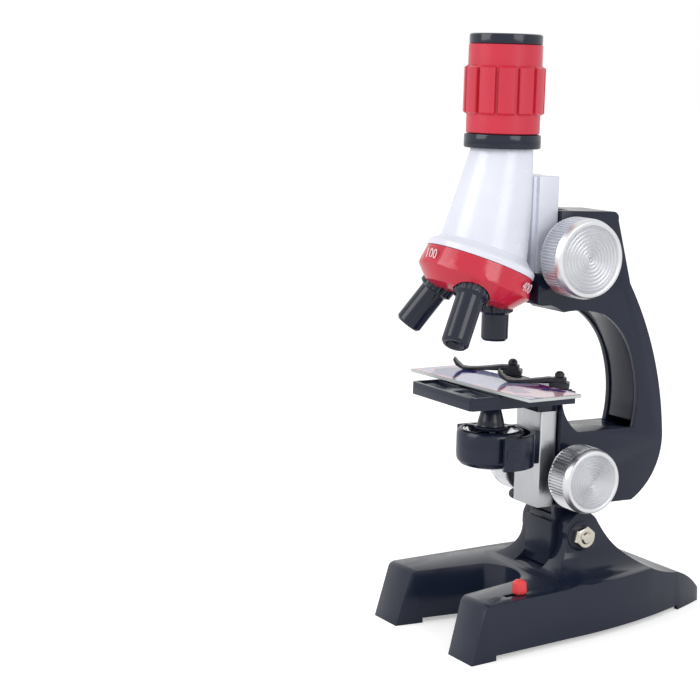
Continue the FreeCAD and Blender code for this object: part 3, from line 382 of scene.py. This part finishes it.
class MicroscopeColours(bpy.types.PropertyGroup):
    """Colours of the moulded and plated pieces."""
    casing: colour_setting("Casing", "Black ABS of the base, arm, stage and dish", "#1b2234")
    barrel: colour_setting("Barrels", "Black ABS of the objectives and eyepiece rings", "#171d2e")
    fitting: colour_setting("Fittings", "Satin black of clips, peg and underside", "#20222b")
    grip: colour_setting("Grip", "Red of the eyepiece grip", "#cd2940")
    nosepiece: colour_setting("Nosepiece", "Red of the turret", "#c8203a")
    switch: colour_setting("Switch", "Red of the lamp switch", "#ea4244")
    tube: colour_setting("Tube", "Bluish white of the optical tube", "#e5e8f4")
    plating: colour_setting("Plating", "Vacuum plating of the knobs", "#e6e7ea")
    bar: colour_setting("Bar", "Satin plating of the stage's bar", "#c9cbce")
    nickel: colour_setting("Nickel", "Nickel plating of bolt and nut", "#d8d2c6")
    zinc: colour_setting("Zinc", "Zinc plating of the screws", "#b4b7ba")
    numerals: colour_setting("Numerals", "Ink of the turret's numbers", "#f3d9dd")


class MicroscopeDetails(bpy.types.PropertyGroup):
    """Sizes of the details that the plain model leaves out."""
    casing_round: length_setting("Casing edge", "Rounding of the big mouldings' edges", 0.7)
    fine_round: length_setting("Fine edge", "Rounding of the small pieces' edges", 0.22)
    knurls: bpy.props.IntProperty(name="Knurls", description="Ridges round a control knob",
                                  default=78, min=12, max=120)
    rings: bpy.props.IntProperty(name="Rings", description="Rings turned into a knob's face",
                                 default=8, min=1, max=16)
    lobes: bpy.props.IntProperty(name="Lobes", description="Raised bars round the eyepiece's grip",
                                 default=12, min=6, max=24)
    numeral: length_setting("Numeral height", "Height of the numbers printed on the turret", 3.8)


class StudioSettings(bpy.types.PropertyGroup):
    """Light, floor and camera."""
    floor: colour_setting("Floor", "Colour of the floor sweep", "#ffffff")
    key: bpy.props.FloatProperty(name="Key light", description="Power of the lamp at the left",
                                 unit="POWER", default=5.4, min=0.0)
    fill: bpy.props.FloatProperty(name="Fill light", description="Power of the lamp at the right",
                                  unit="POWER", default=4.6, min=0.0)
    focal: bpy.props.FloatProperty(name="Focal length", description="Camera lens",
                                   unit="CAMERA", default=95.05, min=10.0)


def colours():
    """The scene's colour settings."""
    return bpy.context.scene.microscope_colours


def details():
    """The scene's detail settings."""
    return bpy.context.scene.microscope_details


# ---- finishes made of those materials --------------------------------------------------------
def casing():
    """Black ABS of the big mouldings: glossy, with a faint ripple."""
    return polished_abs("black ABS, polished mould", tuple(colours().casing), 0.14, 0.12, 0.05,
                        0.34)


def barrel():
    """Black ABS of the objectives and rings: smoother and sharper in its highlights."""
    return polished_abs("black ABS, high gloss", tuple(colours().barrel), 0.12, 0.08, 0.03, 0.38)


def fitting():
    """Satin black ABS of the small fittings and the underside."""
    return grained_plastic("black ABS, spark-eroded mould", tuple(colours().fitting), 0.45, 0.34)


def plating():
    """Bright vacuum plating of the knobs, a little hazed."""
    return metal_skin("vacuum-metallised ABS", tuple(colours().plating), 0.27, 2.4, 0.1)


def screw_steel():
    """Zinc-plated steel of the screws, dulled in a tumbling barrel."""
    return metal_skin("zinc-plated steel, barrelled", tuple(colours().zinc), 0.3, 0.8, 0.2, 0.06)


# ---- shaping helpers for the round pieces ----------------------------------------------------
def push_ridges(bm, low_mm, high_mm, least_mm, count, wave, ease_mm=0.4):
    """Moves the skin between two heights in or out by a wave of the angle round Z."""
    for v in bm.verts:
        out = math.hypot(v.co.x, v.co.y) / MM
        height = v.co.z / MM
        if out < least_mm or height < low_mm or height > high_mm:
            continue
        rise = min(1.0, min(height - low_mm, high_mm - height) / ease_mm)
        turn = math.atan2(v.co.y, v.co.x) * count / math.tau
        new = out + wave(turn - math.floor(turn)) * rise
        v.co.x *= new / out
        v.co.y *= new / out
    return bm


def placed(bm, place):
    """Moves a bmesh by a matrix and hands it back."""
    bmesh.ops.transform(bm, matrix=place, verts=bm.verts)
    return bm


def rows(low, high, count):
    """Evenly spaced heights from low to high."""
    return [low + (high - low) * i / count for i in range(count + 1)]


# ---- control knobs ---------------------------------------------------------------------------
FULL_KNOB = 15.5        # radius of the knob that carries the stated number of knurls
HUB = 7.6
SHAFT_BORE = 1.65
KNURL_TOP, KNURL_ROOT = 0.1, -0.5
FACE_DROP = 1.5         # depth of the grooves between the turned rings, below the rim
FACE_WAVE = 0.55        # half the height of a turned ring


def knob_profile(radius, thick, hub, bore, rings):
    """A cupped knob's section: plain back, ribbed side, chamfered rim and turned rings."""
    side = [(bore, 0.3), (hub, 0.3), (hub, 1.6), (radius - 2.2, 1.6), (radius - 2.2, 0.1),
            (radius - 1.9, 0), (radius - 0.7, 0), (radius - 0.25, 0.25), (radius - 0.1, 0.8)]
    side += [(radius - 0.1, z) for z in rows(1.1, thick - 3.4, 6)]
    rim = [(radius - 0.1, thick - 3.0), (radius - 0.05, thick - 2.7), (radius - 0.1, thick - 2.3),
           (radius - 0.75, thick - 0.5), (radius - 1.05, thick - 0.12), (radius - 1.4, thick),
           (radius - 2.0, thick), (radius - 2.35, thick - 0.15), (radius - 2.7, thick - 0.75)]
    face = []
    outer = radius - 3.1
    pitch = outer / (rings + 0.35)
    steps = 8
    for i in range(rings * steps + 1):
        wave = FACE_WAVE * (1 - math.cos(math.tau * i / steps))
        face.append((outer - pitch * i / steps, thick - FACE_DROP + wave))
    dome = [(pitch * 0.3, thick - 0.75), (0, thick - 0.7)]
    return [(0, thick - 3.2), (bore, thick - 3.2)] + side + rim + face + dome


class MICROSCOPE_OT_knobs(bpy.types.Operator):
    """Makes the four ribbed, plated control knobs with rings turned into their faces"""
    bl_idname = "microscope.knobs"
    bl_label = "Control knobs"

    def execute(self, context):
        for row, at in (("focus", FOCUS_AT), ("stage", STAGE_KNOB_AT)):
            for word, side in (("left", -1), ("right", 1)):
                node = row + "_knob_" + word
                axis = Vector((side, 0, 0))
                low, high, out = reach(node, at, axis)
                radius, thick = out / MM, (high - low) / MM
                count = round(details().knurls * radius / FULL_KNOB)
                profile = knob_profile(radius, thick, HUB, SHAFT_BORE, details().rings)
                bm = spun(profile, count * 3, Matrix.Identity(4))
                push_ridges(bm, 0.7, thick - 2.9, radius - 0.5, count,
                            lambda turn: KNURL_TOP if turn < 0.5 else KNURL_ROOT)
                placed(bm, seat(at + axis * low, axis, Vector((0, 0, 1))))
                stand_for(finished(bm, node + "_plated", plating(), 24.0), node)
        return {"FINISHED"}


# ---- eyepiece --------------------------------------------------------------------------------
class MICROSCOPE_OT_eyepiece(bpy.types.Operator):
    """Makes the barred red grip, its black rim and the black ring it turns in"""
    bl_idname = "microscope.eyepiece"
    bl_label = "Eyepiece"

    def execute(self, context):
        red = polished_abs("red ABS, semi-gloss mould", tuple(colours().grip), 0.26, 0.14)
        low, high, out = reach("eyepiece_grip", TUBE_AT, TUBE_UP)
        tall = (high - low) / MM
        bore, radius = 11.3, 14.1
        bars_low, bars_high = 7.0, 25.6
        profile = [(bore, 0), (radius - 0.4, 0), (radius, 0.3)]
        profile += [(radius, z) for z in rows(1.5, bars_low - 0.2, 4)]
        profile += [(radius, bars_low + step) for step in (0.0, 0.25, 0.5, 0.9, 1.4)]
        profile += [(radius, z) for z in rows(bars_low + 3, bars_high - 3, 6)]
        profile += [(radius, bars_high - step) for step in (1.4, 0.9, 0.5, 0.25, 0.0)]
        profile += [(radius, tall - 0.3), (radius - 0.3, tall), (bore, tall), (bore, 0)]
        bm = spun(profile, details().lobes * 20, Matrix.Identity(4))
        rise = out / MM - radius

        def bar(turn):
            """Height of a raised bar at a share of its pitch: flat, with short flanks."""
            away = abs(turn - round(turn))
            return rise * max(0.0, min(1.0, (0.44 - away) / 0.05))
        push_ridges(bm, bars_low, bars_high, radius - 0.1, details().lobes, bar, 0.9)
        placed(bm, seat(TUBE_AT + TUBE_UP * low, TUBE_UP))
        stand_for(finished(bm, "eyepiece_grip_barred", red, 30.0), "eyepiece_grip")

        low, high, out = reach("eyepiece_cap", TUBE_AT, TUBE_UP)
        rim = (high - low) / MM
        out = out / MM
        lens, eye, band = 9.0, 7.4, rim - 4.0
        profile = [(bore, 0), (bore, band), (out - 0.3, band), (out, rim - 3.7), (out, rim - 0.9),
                   (out - 0.15, rim - 0.4), (out - 0.6, rim - 0.08), (out - 1.1, rim), (12.4, rim),
                   (12.0, rim - 0.15), (10.4, rim - 1.9), (lens, rim - 2.9), (7.7, rim - 3.3),
                   (eye, rim - 3.6), (eye, rim - 6.0), (lens, rim - 6.0), (lens, 0), (bore, 0)]
        bm = spun(profile, 96, seat(TUBE_AT + TUBE_UP * low, TUBE_UP))
        stand_for(finished(bm, "eyepiece_rim", barrel(), 32.0), "eyepiece_cap")

        low, high, out = reach("tube_collar", TUBE_AT, TUBE_UP)
        out = out / MM
        clear, socket, journal = 8.4, 9.75, 11.2
        foot, shoulder, top = 6.0, 11.4, 18.0
        profile = [(clear, 0), (socket, 0), (socket, foot), (out - 0.7, foot), (out - 0.2, 6.15),
                   (out, 6.6), (out, 10.8), (out - 0.2, 11.25), (out - 0.7, shoulder),
                   (journal, shoulder), (journal, top), (clear, top), (clear, 0)]
        bm = spun(profile, 96, seat(TUBE_AT + TUBE_UP * low, TUBE_UP))
        stand_for(finished(bm, "tube_ring", barrel(), 32.0), "tube_collar")
        return {"FINISHED"}


# ---- mouldings copied from the model and softened ----------------------------------------------
def moulding(node, name, material, width_mm, angle_deg=28.0, smooth_deg=40.0):
    """A node's own shape with its edges broken, finished as a moulding."""
    bm = soften(from_node(node), width_mm, angle_deg)
    return stand_for(finished(bm, name, material, smooth_deg), node)


class MICROSCOPE_OT_base(bpy.types.Operator):
    """Rounds and finishes the two-legged base, its underside, and the red switch"""
    bl_idname = "microscope.base"
    bl_label = "Base"

    def execute(self, context):
        moulding("base_shell", "base_moulding", casing(), details().casing_round / MM)
        moulding("bottom_plate", "bottom_cover", fitting(), details().fine_round / MM)
        moulding("battery_door", "battery_lid", fitting(), details().fine_round / MM)
        red = polished_abs("red ABS, small moulding", tuple(colours().switch), 0.3, 0.1)
        moulding("switch_knob", "switch_slider", red, 0.15)
        return {"FINISHED"}


class MICROSCOPE_OT_pivot(bpy.types.Operator):
    """Finishes the nickelled bolt and nut that the arm tilts on"""
    bl_idname = "microscope.pivot"
    bl_label = "Pivot bolt and nut"

    def execute(self, context):
        nickel = metal_skin("nickel-plated steel", tuple(colours().nickel), 0.14, 1.5, 0.1)
        moulding("pivot_nut", "pivot_nut_nickel", nickel, 0.18)
        moulding("pivot_bolt", "pivot_bolt_nickel", nickel, 0.12)
        return {"FINISHED"}


class MICROSCOPE_OT_arm(bpy.types.Operator):
    """Rounds and finishes the bowed arm and the strip that closes its opening"""
    bl_idname = "microscope.arm"
    bl_label = "Arm"

    def execute(self, context):
        moulding("arm_shell", "arm_moulding", casing(), details().casing_round / MM)
        moulding("arm_cover", "arm_strip", casing(), details().fine_round / MM)
        return {"FINISHED"}


class MICROSCOPE_OT_tube(bpy.types.Operator):
    """Finishes the white bell-shaped tube and the slide at its back"""
    bl_idname = "microscope.tube"
    bl_label = "Optical tube"

    def execute(self, context):
        white = polished_abs("white ABS, polished mould", tuple(colours().tube), 0.2, 0.1, 0.03)
        moulding("optical_tube", "optical_tube_white", white, details().fine_round / MM, 20.0)
        moulding("tube_slider", "tube_slide_white", white, details().fine_round / MM)
        return {"FINISHED"}


def numeral(text, height):
    """Printed digits as a thin raised mesh, centred on the origin and facing +Z."""
    curve = bpy.data.curves.new("digits " + text, "FONT")
    curve.body = text
    font_over_digit = 1.38
    curve.size = height * font_over_digit
    curve.extrude = 0.03 * MM
    curve.align_x = "CENTER"
    curve.align_y = "CENTER"
    curve.resolution_u = 4
    holder = bpy.data.objects.new("digits " + text, curve)
    bpy.context.scene.collection.objects.link(holder)
    bpy.context.view_layer.update()
    bm = bmesh.new()
    shown = holder.evaluated_get(bpy.context.evaluated_depsgraph_get())
    bm.from_mesh(shown.to_mesh())
    bpy.data.objects.remove(holder)
    return bm


class MICROSCOPE_OT_turret(bpy.types.Operator):
    """Finishes the twelve-sided red nosepiece and prints its numbers"""
    bl_idname = "microscope.turret"
    bl_label = "Turret"

    def execute(self, context):
        red = polished_abs("red ABS, polished mould", tuple(colours().nosepiece), 0.13, 0.1)
        moulding("turret", "turret_faceted", red, 0.25, 12.0, 14.0)
        ink = grained_plastic("pad-printed ink", tuple(colours().numerals), 0.3, 0.4, 0.01)
        ahead = (Vector((0, -1, 0)) - TURRET_DOWN * -TURRET_DOWN.y).normalized()
        band_drop, band_radius, band_tilt = 4.1 * MM, 22.25 * MM, 0.12
        for digits, turn in (("400", 120), ("100", 0), ("1200", -120)):
            out = (ahead * math.cos(math.radians(turn))
                   + TURRET_DOWN.cross(ahead) * -math.sin(math.radians(turn)))
            face = (out + TURRET_DOWN * band_tilt).normalized()
            right = (-TURRET_DOWN).cross(face)
            at = TURRET_AT + TURRET_DOWN * band_drop + out * band_radius
            bm = numeral(digits, details().numeral)
            placed(bm, seat(at, face, right))
            piece = finished(bm, "turret_number_" + digits, ink, 40.0)
            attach(piece, "turret")
        return {"FINISHED"}


class MICROSCOPE_OT_objectives(bpy.types.Operator):
    """Finishes the three black objectives with their fluted collars"""
    bl_idname = "microscope.objectives"
    bl_label = "Objectives"

    def execute(self, context):
        for word in ("short", "middle", "long"):
            moulding("objective_" + word, "objective_" + word + "_barrel", barrel(), 0.14)
        return {"FINISHED"}


# ---- stage -----------------------------------------------------------------------------------
POST = 1.5              # radius of the posts that the clips swing on
POST_BORE = 1.62


def clip_frame(side):
    """A clip's swing axis, the place of it, its foot along it and the way its leaf points."""
    swing = joint("clip_" + side + "_swing")
    up, at = Vector(swing["axis"]).normalized(), Vector(swing["pos_m"])
    if up.z < 0:
        up = -up
    low, _, out = reach("clip_" + side, at, up)
    ahead = Vector()
    for v in frame["nodes"]["clip_" + side].data.vertices:
        arm = v.co - at
        arm -= up * arm.dot(up)
        if arm.length > 0.9 * out:
            ahead += arm.normalized()
    return up, at, low, ahead.normalized()


def ringed_block(half_x, half_y, bore, low, high, corner=0.8):
    """A block with rounded corners and a round bore, in millimetres about Z."""
    bm = bmesh.new()
    steps, edge = 48, 0.3
    power = 2 * max(half_x, half_y) / corner

    def ring(inset, z, wall):
        loop = []
        for i in range(steps):
            c, d = math.cos(math.tau * i / steps), math.sin(math.tau * i / steps)
            span = bore
            if wall:
                across = abs(c / (half_x - inset)) ** power + abs(d / (half_y - inset)) ** power
                span = across ** (-1 / power)
            loop.append(bm.verts.new((span * c * MM, span * d * MM, z * MM)))
        return loop
    loops = [ring(edge, low, True), ring(0, low + edge, True), ring(0, high - edge, True),
             ring(edge, high, True), ring(0, high, False), ring(0, low, False)]
    skin(bm, loops + loops[:1])
    return bm


def skin(bm, loops):
    """Joins each loop of points to the next with faces."""
    for a, b in zip(loops, loops[1:]):
        for i in range(len(a)):
            j = (i + 1) % len(a)
            bm.faces.new((a[i], a[j], b[j], b[i]))


def spoon_leaf():
    """The sprung leaf of a clip: thick at its hub, low over the glass and curled up to a spoon."""
    # Distance from the post, underside, top side and half width, in millimetres.
    stations = ((2.3, 1.7, 4.0, 2.6), (4.5, 1.65, 4.0, 3.1), (7.5, 1.55, 3.5, 3.0),
                (11.0, 1.45, 3.0, 2.7), (14.5, 1.38, 2.6, 2.6), (18.0, 1.36, 2.4, 2.8),
                (20.2, 1.5, 2.6, 3.2), (21.6, 2.2, 3.5, 3.5),
                (22.8, 2.9, 4.4, 3.5), (23.7, 4.1, 5.6, 2.9), (24.15, 4.9, 6.1, 1.8))
    bm = bmesh.new()
    loops = []
    sides, bend = 16, 21
    for u, under, over, half in stations:
        loop = []
        for i in range(sides):
            turn = math.tau * (i + 0.5) / sides
            c, d = math.cos(turn), math.sin(turn)
            across = half * math.copysign(abs(c) ** 0.45, c)
            up = (under + over) / 2 + (over - under) / 2 * math.copysign(abs(d) ** 0.6, d)
            lean = 0.35 * (up - under) if u > bend else 0
            loop.append(bm.verts.new(((u - lean) * MM, across * MM, up * MM)))
        loops.append(loop)
    skin(bm, loops)
    bm.faces.new(loops[0])
    bm.faces.new(reversed(loops[-1]))
    return bm


class MICROSCOPE_OT_stage(bpy.types.Operator):
    """Finishes the stage, its clips and posts, the plated bar behind it and the lamp's arm"""
    bl_idname = "microscope.stage"
    bl_label = "Stage"

    def execute(self, context):
        moulding("stage_plate", "stage_top", casing(), 0.3)
        pins = []
        for side in ("left", "right"):
            up, at, low, ahead = clip_frame(side)
            hub = ringed_block(3.9, 4.0, POST_BORE, 0.0, 2.3)
            collar = ringed_block(2.7, 2.7, POST_BORE, 1.9, 4.1)
            clip = gathered(hub, collar, spoon_leaf())
            placed(clip, seat(at + up * low, up, ahead))
            stand_for(finished(clip, "stage_clip_" + side, fitting(), 40.0), "clip_" + side)
            low, high, _ = reach("clip_posts", at, up)
            foot, head = low / MM, high / MM
            profile = [(0, foot), (POST, foot), (POST, head - 2.3), (1.9, head - 2.0),
                       (1.9, head - 1.1), (1.3, head - 0.3), (0.7, head), (0, head)]
            pins.append(spun(profile, 32, seat(at, up)))
        stand_for(finished(gathered(*pins), "clip_pins", fitting(), 32.0), "clip_posts")
        bar = metal_skin("satin-plated ABS bar", tuple(colours().bar), 0.26, 1.2, 0.12, 0.04,
                         (1, 1, 0.05))
        moulding("stage_carrier", "stage_bar", bar, 0.3)
        moulding("carrier_peg", "bar_peg", fitting(), 0.12)
        arm = from_node("lamp_bracket")
        flatten_bosses(arm)
        soften(arm, 0.9, 28.0, 3)
        stand_for(finished(arm, "lamp_arm", casing()), "lamp_bracket")
        return {"FINISHED"}


class MICROSCOPE_OT_specimen(bpy.types.Operator):
    """Makes the glass slide and the stained section under its cover"""
    bl_idname = "microscope.specimen"
    bl_label = "Specimen slide"

    def execute(self, context):
        up = clip_frame("left")[0]
        points = [v.co for v in frame["nodes"]["specimen_slide"].data.vertices]
        middle = sum(points, Vector()) / len(points)
        half = max((p - middle).dot(up) for p in points)
        film_thick, film_share, edge_slope = 0.12 * MM, 0.985, 0.7
        blank = from_node("specimen_slide")
        for v in blank.verts:
            if (v.co - middle).dot(up) > 0:
                v.co -= up * film_thick / 2
        glass = clear_glass("soda-lime glass, polished", (0.86, 0.9, 0.97))
        blank = finished(soften(blank, 0.15), "slide_glass_blank", glass)
        ground = grained_plastic("ground glass edge", linear("#c6cccb"), 0.4, 0.5, 0.01)
        blank.data.materials.append(ground)
        for face in blank.data.polygons:
            if abs(face.normal.dot(up)) < edge_slope:
                face.material_index = 1
        stand_for(blank, "specimen_slide")
        film = from_node("specimen_slide")
        for v in film.verts:
            high = (v.co - middle).dot(up)
            flat = v.co - middle - up * high
            v.co = middle + flat * film_share + up * (half if high > 0 else half - film_thick)
        section = stained_section("stained tissue section", linear("#aab3de"), linear("#2b3192"),
                                  linear("#a8287c"), linear("#d993bd"), linear("#eebfc6"))
        piece = finished(film, "stained_film", section)
        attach(piece, frame["nodes"]["specimen_slide"]["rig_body"])
        return {"FINISHED"}


def flatten_bosses(bm):
    """Sinks the round bosses of the lamp's pivots, and the pins in them, into the yoke's faces."""
    face = 17.65 * MM
    for v in bm.verts:
        if abs(v.co.x) > face:
            v.co.x = math.copysign(face, v.co.x)


def round_dish(bm):
    """Draws the foot of the lamp's dish in to a bowl."""
    low = min(v.co.z for v in bm.verts)
    depth, pull, rise = 7.0, 0.16, 0.3 * MM
    sliced(bm, Vector((0, 0, low)), Vector((0, 0, 1)), (0.6, 1.3, 2.2, 3.2, 4.4, 5.8, depth))
    for v in bm.verts:
        left = 1 - (v.co.z - low) / (depth * MM)
        if left <= 0:
            continue
        shrink = 1 - pull * left ** 2.4
        v.co.x = LAMP_AT.x + (v.co.x - LAMP_AT.x) * shrink
        v.co.y = LAMP_AT.y + (v.co.y - LAMP_AT.y) * shrink
        v.co.z += rise * left ** 1.5


class MICROSCOPE_OT_lamp(bpy.types.Operator):
    """Finishes the flip-over dish with its lamp, reflector, cone and mirror"""
    bl_idname = "microscope.lamp"
    bl_label = "Lamp"

    def execute(self, context):
        dish = from_node("lamp_housing")
        flatten_bosses(dish)
        round_dish(dish)
        stand_for(finished(soften(dish, 0.3), "lamp_dish", casing()), "lamp_housing")
        moulding("lamp_cone", "lamp_bell", casing(), 0.2)
        bright = metal_skin("vacuum-metallised reflector", tuple(colours().plating), 0.06, 3.0,
                            0.05)
        finish_node("lamp_reflector", bright)
        silvered = metal_skin("silvered glass", linear("#dfe3e6"), 0.03, 6.0, 0.04)
        finish_node("lamp_mirror", silvered)
        finish_node("lamp_bulb", clear_glass("clear lamp glass", (1, 0.99, 0.95)))
        return {"FINISHED"}


def finish_node(node, material):
    """Gives a node that keeps its own mesh a finish."""
    piece = frame["nodes"][node]
    piece.data.materials.clear()
    piece.data.materials.append(material)


class MICROSCOPE_OT_inside(bpy.types.Operator):
    """Finishes the pieces inside: cells, contacts, shafts, racks, rails, lenses and screws"""
    bl_idname = "microscope.inside"
    bl_label = "Inner pieces"

    def execute(self, context):
        acetal = grained_plastic("white acetal, moulded", linear("#e3e2dc"), 0.8, 0.36, 0.01)
        for node in ("focus_shaft", "stage_shaft", "stage_rack"):
            finish_node(node, acetal)
        for node in ("switch_body", "stage_rail"):
            finish_node(node, fitting())
        for node in ("bottom_screws", "stage_screws", "turret_screw"):
            finish_node(node, screw_steel())
        for node in ("field_lens", "eyepiece_lens", "objective_lenses"):
            finish_node(node, clear_glass("acrylic lens, polished", (0.95, 0.97, 1.0), 0.01, 1.49))
        low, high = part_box("batteries")
        finish_node("batteries", cell_sleeve("shrink sleeve on a steel can", linear("#23262b"),
                                             linear("#b87d2a"), low.x + (high.x - low.x) * 0.3))
        spring = metal_skin("nickel-plated spring steel", linear("#cfc9bd"), 0.2, 1.0, 0.2)
        finish_node("battery_contacts", spring)
        return {"FINISHED"}


# ---- studio ----------------------------------------------------------------------------------
class MICROSCOPE_OT_studio(bpy.types.Operator):
    """Makes the pale floor, the soft lamps, the world and the camera"""
    bl_idname = "microscope.studio"
    bl_label = "Studio"

    def execute(self, context):
        studio = context.scene.microscope_studio
        context.scene.view_settings.view_transform = "Standard"
        bm = bmesh.new()
        half_floor = 3.0
        bmesh.ops.create_grid(bm, x_segments=4, y_segments=4, size=half_floor)
        floor = finished(bm, "floor", paper_floor(tuple(studio.floor)))
        white_world(context.scene)
        soft_lamp("key lamp", Vector((-0.25, -1.1, 0.75)), 0.75, studio.key)
        soft_lamp("fill lamp", Vector((1.2, 0.15, 0.7)), 0.7, studio.fill)
        camera = bpy.data.cameras.new("camera")
        camera.lens = studio.focal
        camera.sensor_width = 36.0
        camera.clip_start = 0.05
        holder = bpy.data.objects.new("camera", camera)
        context.scene.collection.objects.link(holder)
        eye = Vector((0.58963, -0.42524, 0.23846))
        aim = Vector((-0.02799, -0.07808, 0.11232))
        roll_deg = -0.76
        back = (eye - aim).normalized()
        level = Vector((0, 0, 1)).cross(back).normalized()
        right = Matrix.Rotation(math.radians(roll_deg), 3, back) @ level
        holder.matrix_world = seat(eye, back, right)
        context.scene.camera = holder
        return {"FINISHED"}


def paper_floor(colour):
    """White paper sweep: matt, and bright enough to the camera to fade into the background."""
    begun = started("white paper sweep")
    if begun:
        tree, place, shader = begun
        fibre = noise(tree, place, 2.0, 3.0)
        feed(tree, shader, Base_Color=(*colour, 1), Roughness=0.9, Specular_IOR_Level=0.1,
             Normal=relief(tree, fibre, 0.04, 0.05))
        path = add(tree, "ShaderNodeLightPath")
        glow = 0.4
        lift = add(tree, "ShaderNodeMath", {"operation": "MULTIPLY"},
                   {0: path.outputs["Is Camera Ray"], 1: glow})
        feed(tree, shader, Emission_Color=(1, 1, 1, 1), Emission_Strength=lift.outputs["Value"])
    return bpy.data.materials["white paper sweep"]


def white_world(scene):
    """White to the camera, nearly white in reflections, and a softer level as light."""
    world = bpy.data.worlds.new("studio")
    world.use_nodes = True
    tree = world.node_tree
    tree.nodes.clear()
    path = add(tree, "ShaderNodeLightPath")
    seen = add(tree, "ShaderNodeMath", {"operation": "MAXIMUM"},
               {0: path.outputs["Is Camera Ray"], 1: path.outputs["Is Transmission Ray"]})
    as_light, in_reflections = 0.68, 0.93
    mirrored = spread(tree, path.outputs["Is Glossy Ray"], as_light, in_reflections)
    level = add(tree, "ShaderNodeMath", {"operation": "MAXIMUM"},
                {0: seen.outputs["Value"], 1: mirrored})
    light = add(tree, "ShaderNodeBackground", None,
                {"Color": (1, 1, 1, 1), "Strength": level.outputs["Value"]})
    add(tree, "ShaderNodeOutputWorld", None, {"Surface": light.outputs["Background"]})
    scene.world = world


def soft_lamp(name, at, size, power):
    """A square soft box aimed at the middle of the object."""
    light = bpy.data.lights.new(name, "AREA")
    light.shape = "SQUARE"
    light.size = size
    light.energy = power
    holder = bpy.data.objects.new(name, light)
    bpy.context.scene.collection.objects.link(holder)
    low, high = cad_size
    holder.matrix_world = seat(at, at - (Vector(low) + Vector(high)) / 2)


# ---- add-on ----------------------------------------------------------------------------------
PIECES = (MICROSCOPE_OT_base, MICROSCOPE_OT_pivot, MICROSCOPE_OT_arm, MICROSCOPE_OT_knobs,
          MICROSCOPE_OT_tube, MICROSCOPE_OT_eyepiece, MICROSCOPE_OT_turret,
          MICROSCOPE_OT_objectives, MICROSCOPE_OT_stage, MICROSCOPE_OT_specimen,
          MICROSCOPE_OT_lamp, MICROSCOPE_OT_inside, MICROSCOPE_OT_studio)


class MICROSCOPE_PT_pieces(bpy.types.Panel):
    """Lists the microscope's pieces and their settings"""
    bl_idname = "MICROSCOPE_PT_pieces"
    bl_label = "Toy microscope"
    bl_space_type = "VIEW_3D"
    bl_region_type = "UI"
    bl_category = "Microscope"

    def draw(self, context):
        layout = self.layout
        for piece in PIECES:
            layout.operator(piece.bl_idname)
        for group in (context.scene.microscope_colours, context.scene.microscope_details,
                      context.scene.microscope_studio):
            for name in group.__annotations__:
                layout.prop(group, name)


GROUPS = (("microscope_colours", MicroscopeColours), ("microscope_details", MicroscopeDetails),
          ("microscope_studio", StudioSettings))


def register():
    for name, group in GROUPS:
        bpy.utils.register_class(group)
        setattr(bpy.types.Scene, name, bpy.props.PointerProperty(type=group))
    for piece in PIECES + (MICROSCOPE_PT_pieces,):
        bpy.utils.register_class(piece)


def unregister():
    for piece in reversed(PIECES + (MICROSCOPE_PT_pieces,)):
        bpy.utils.unregister_class(piece)
    for name, group in reversed(GROUPS):
        delattr(bpy.types.Scene, name)
        bpy.utils.unregister_class(group)


def main():
    register()
    for piece in PIECES:
        group, name = piece.bl_idname.split(".")
        getattr(getattr(bpy.ops, group), name)()


if __name__ == "__main__":
    main()
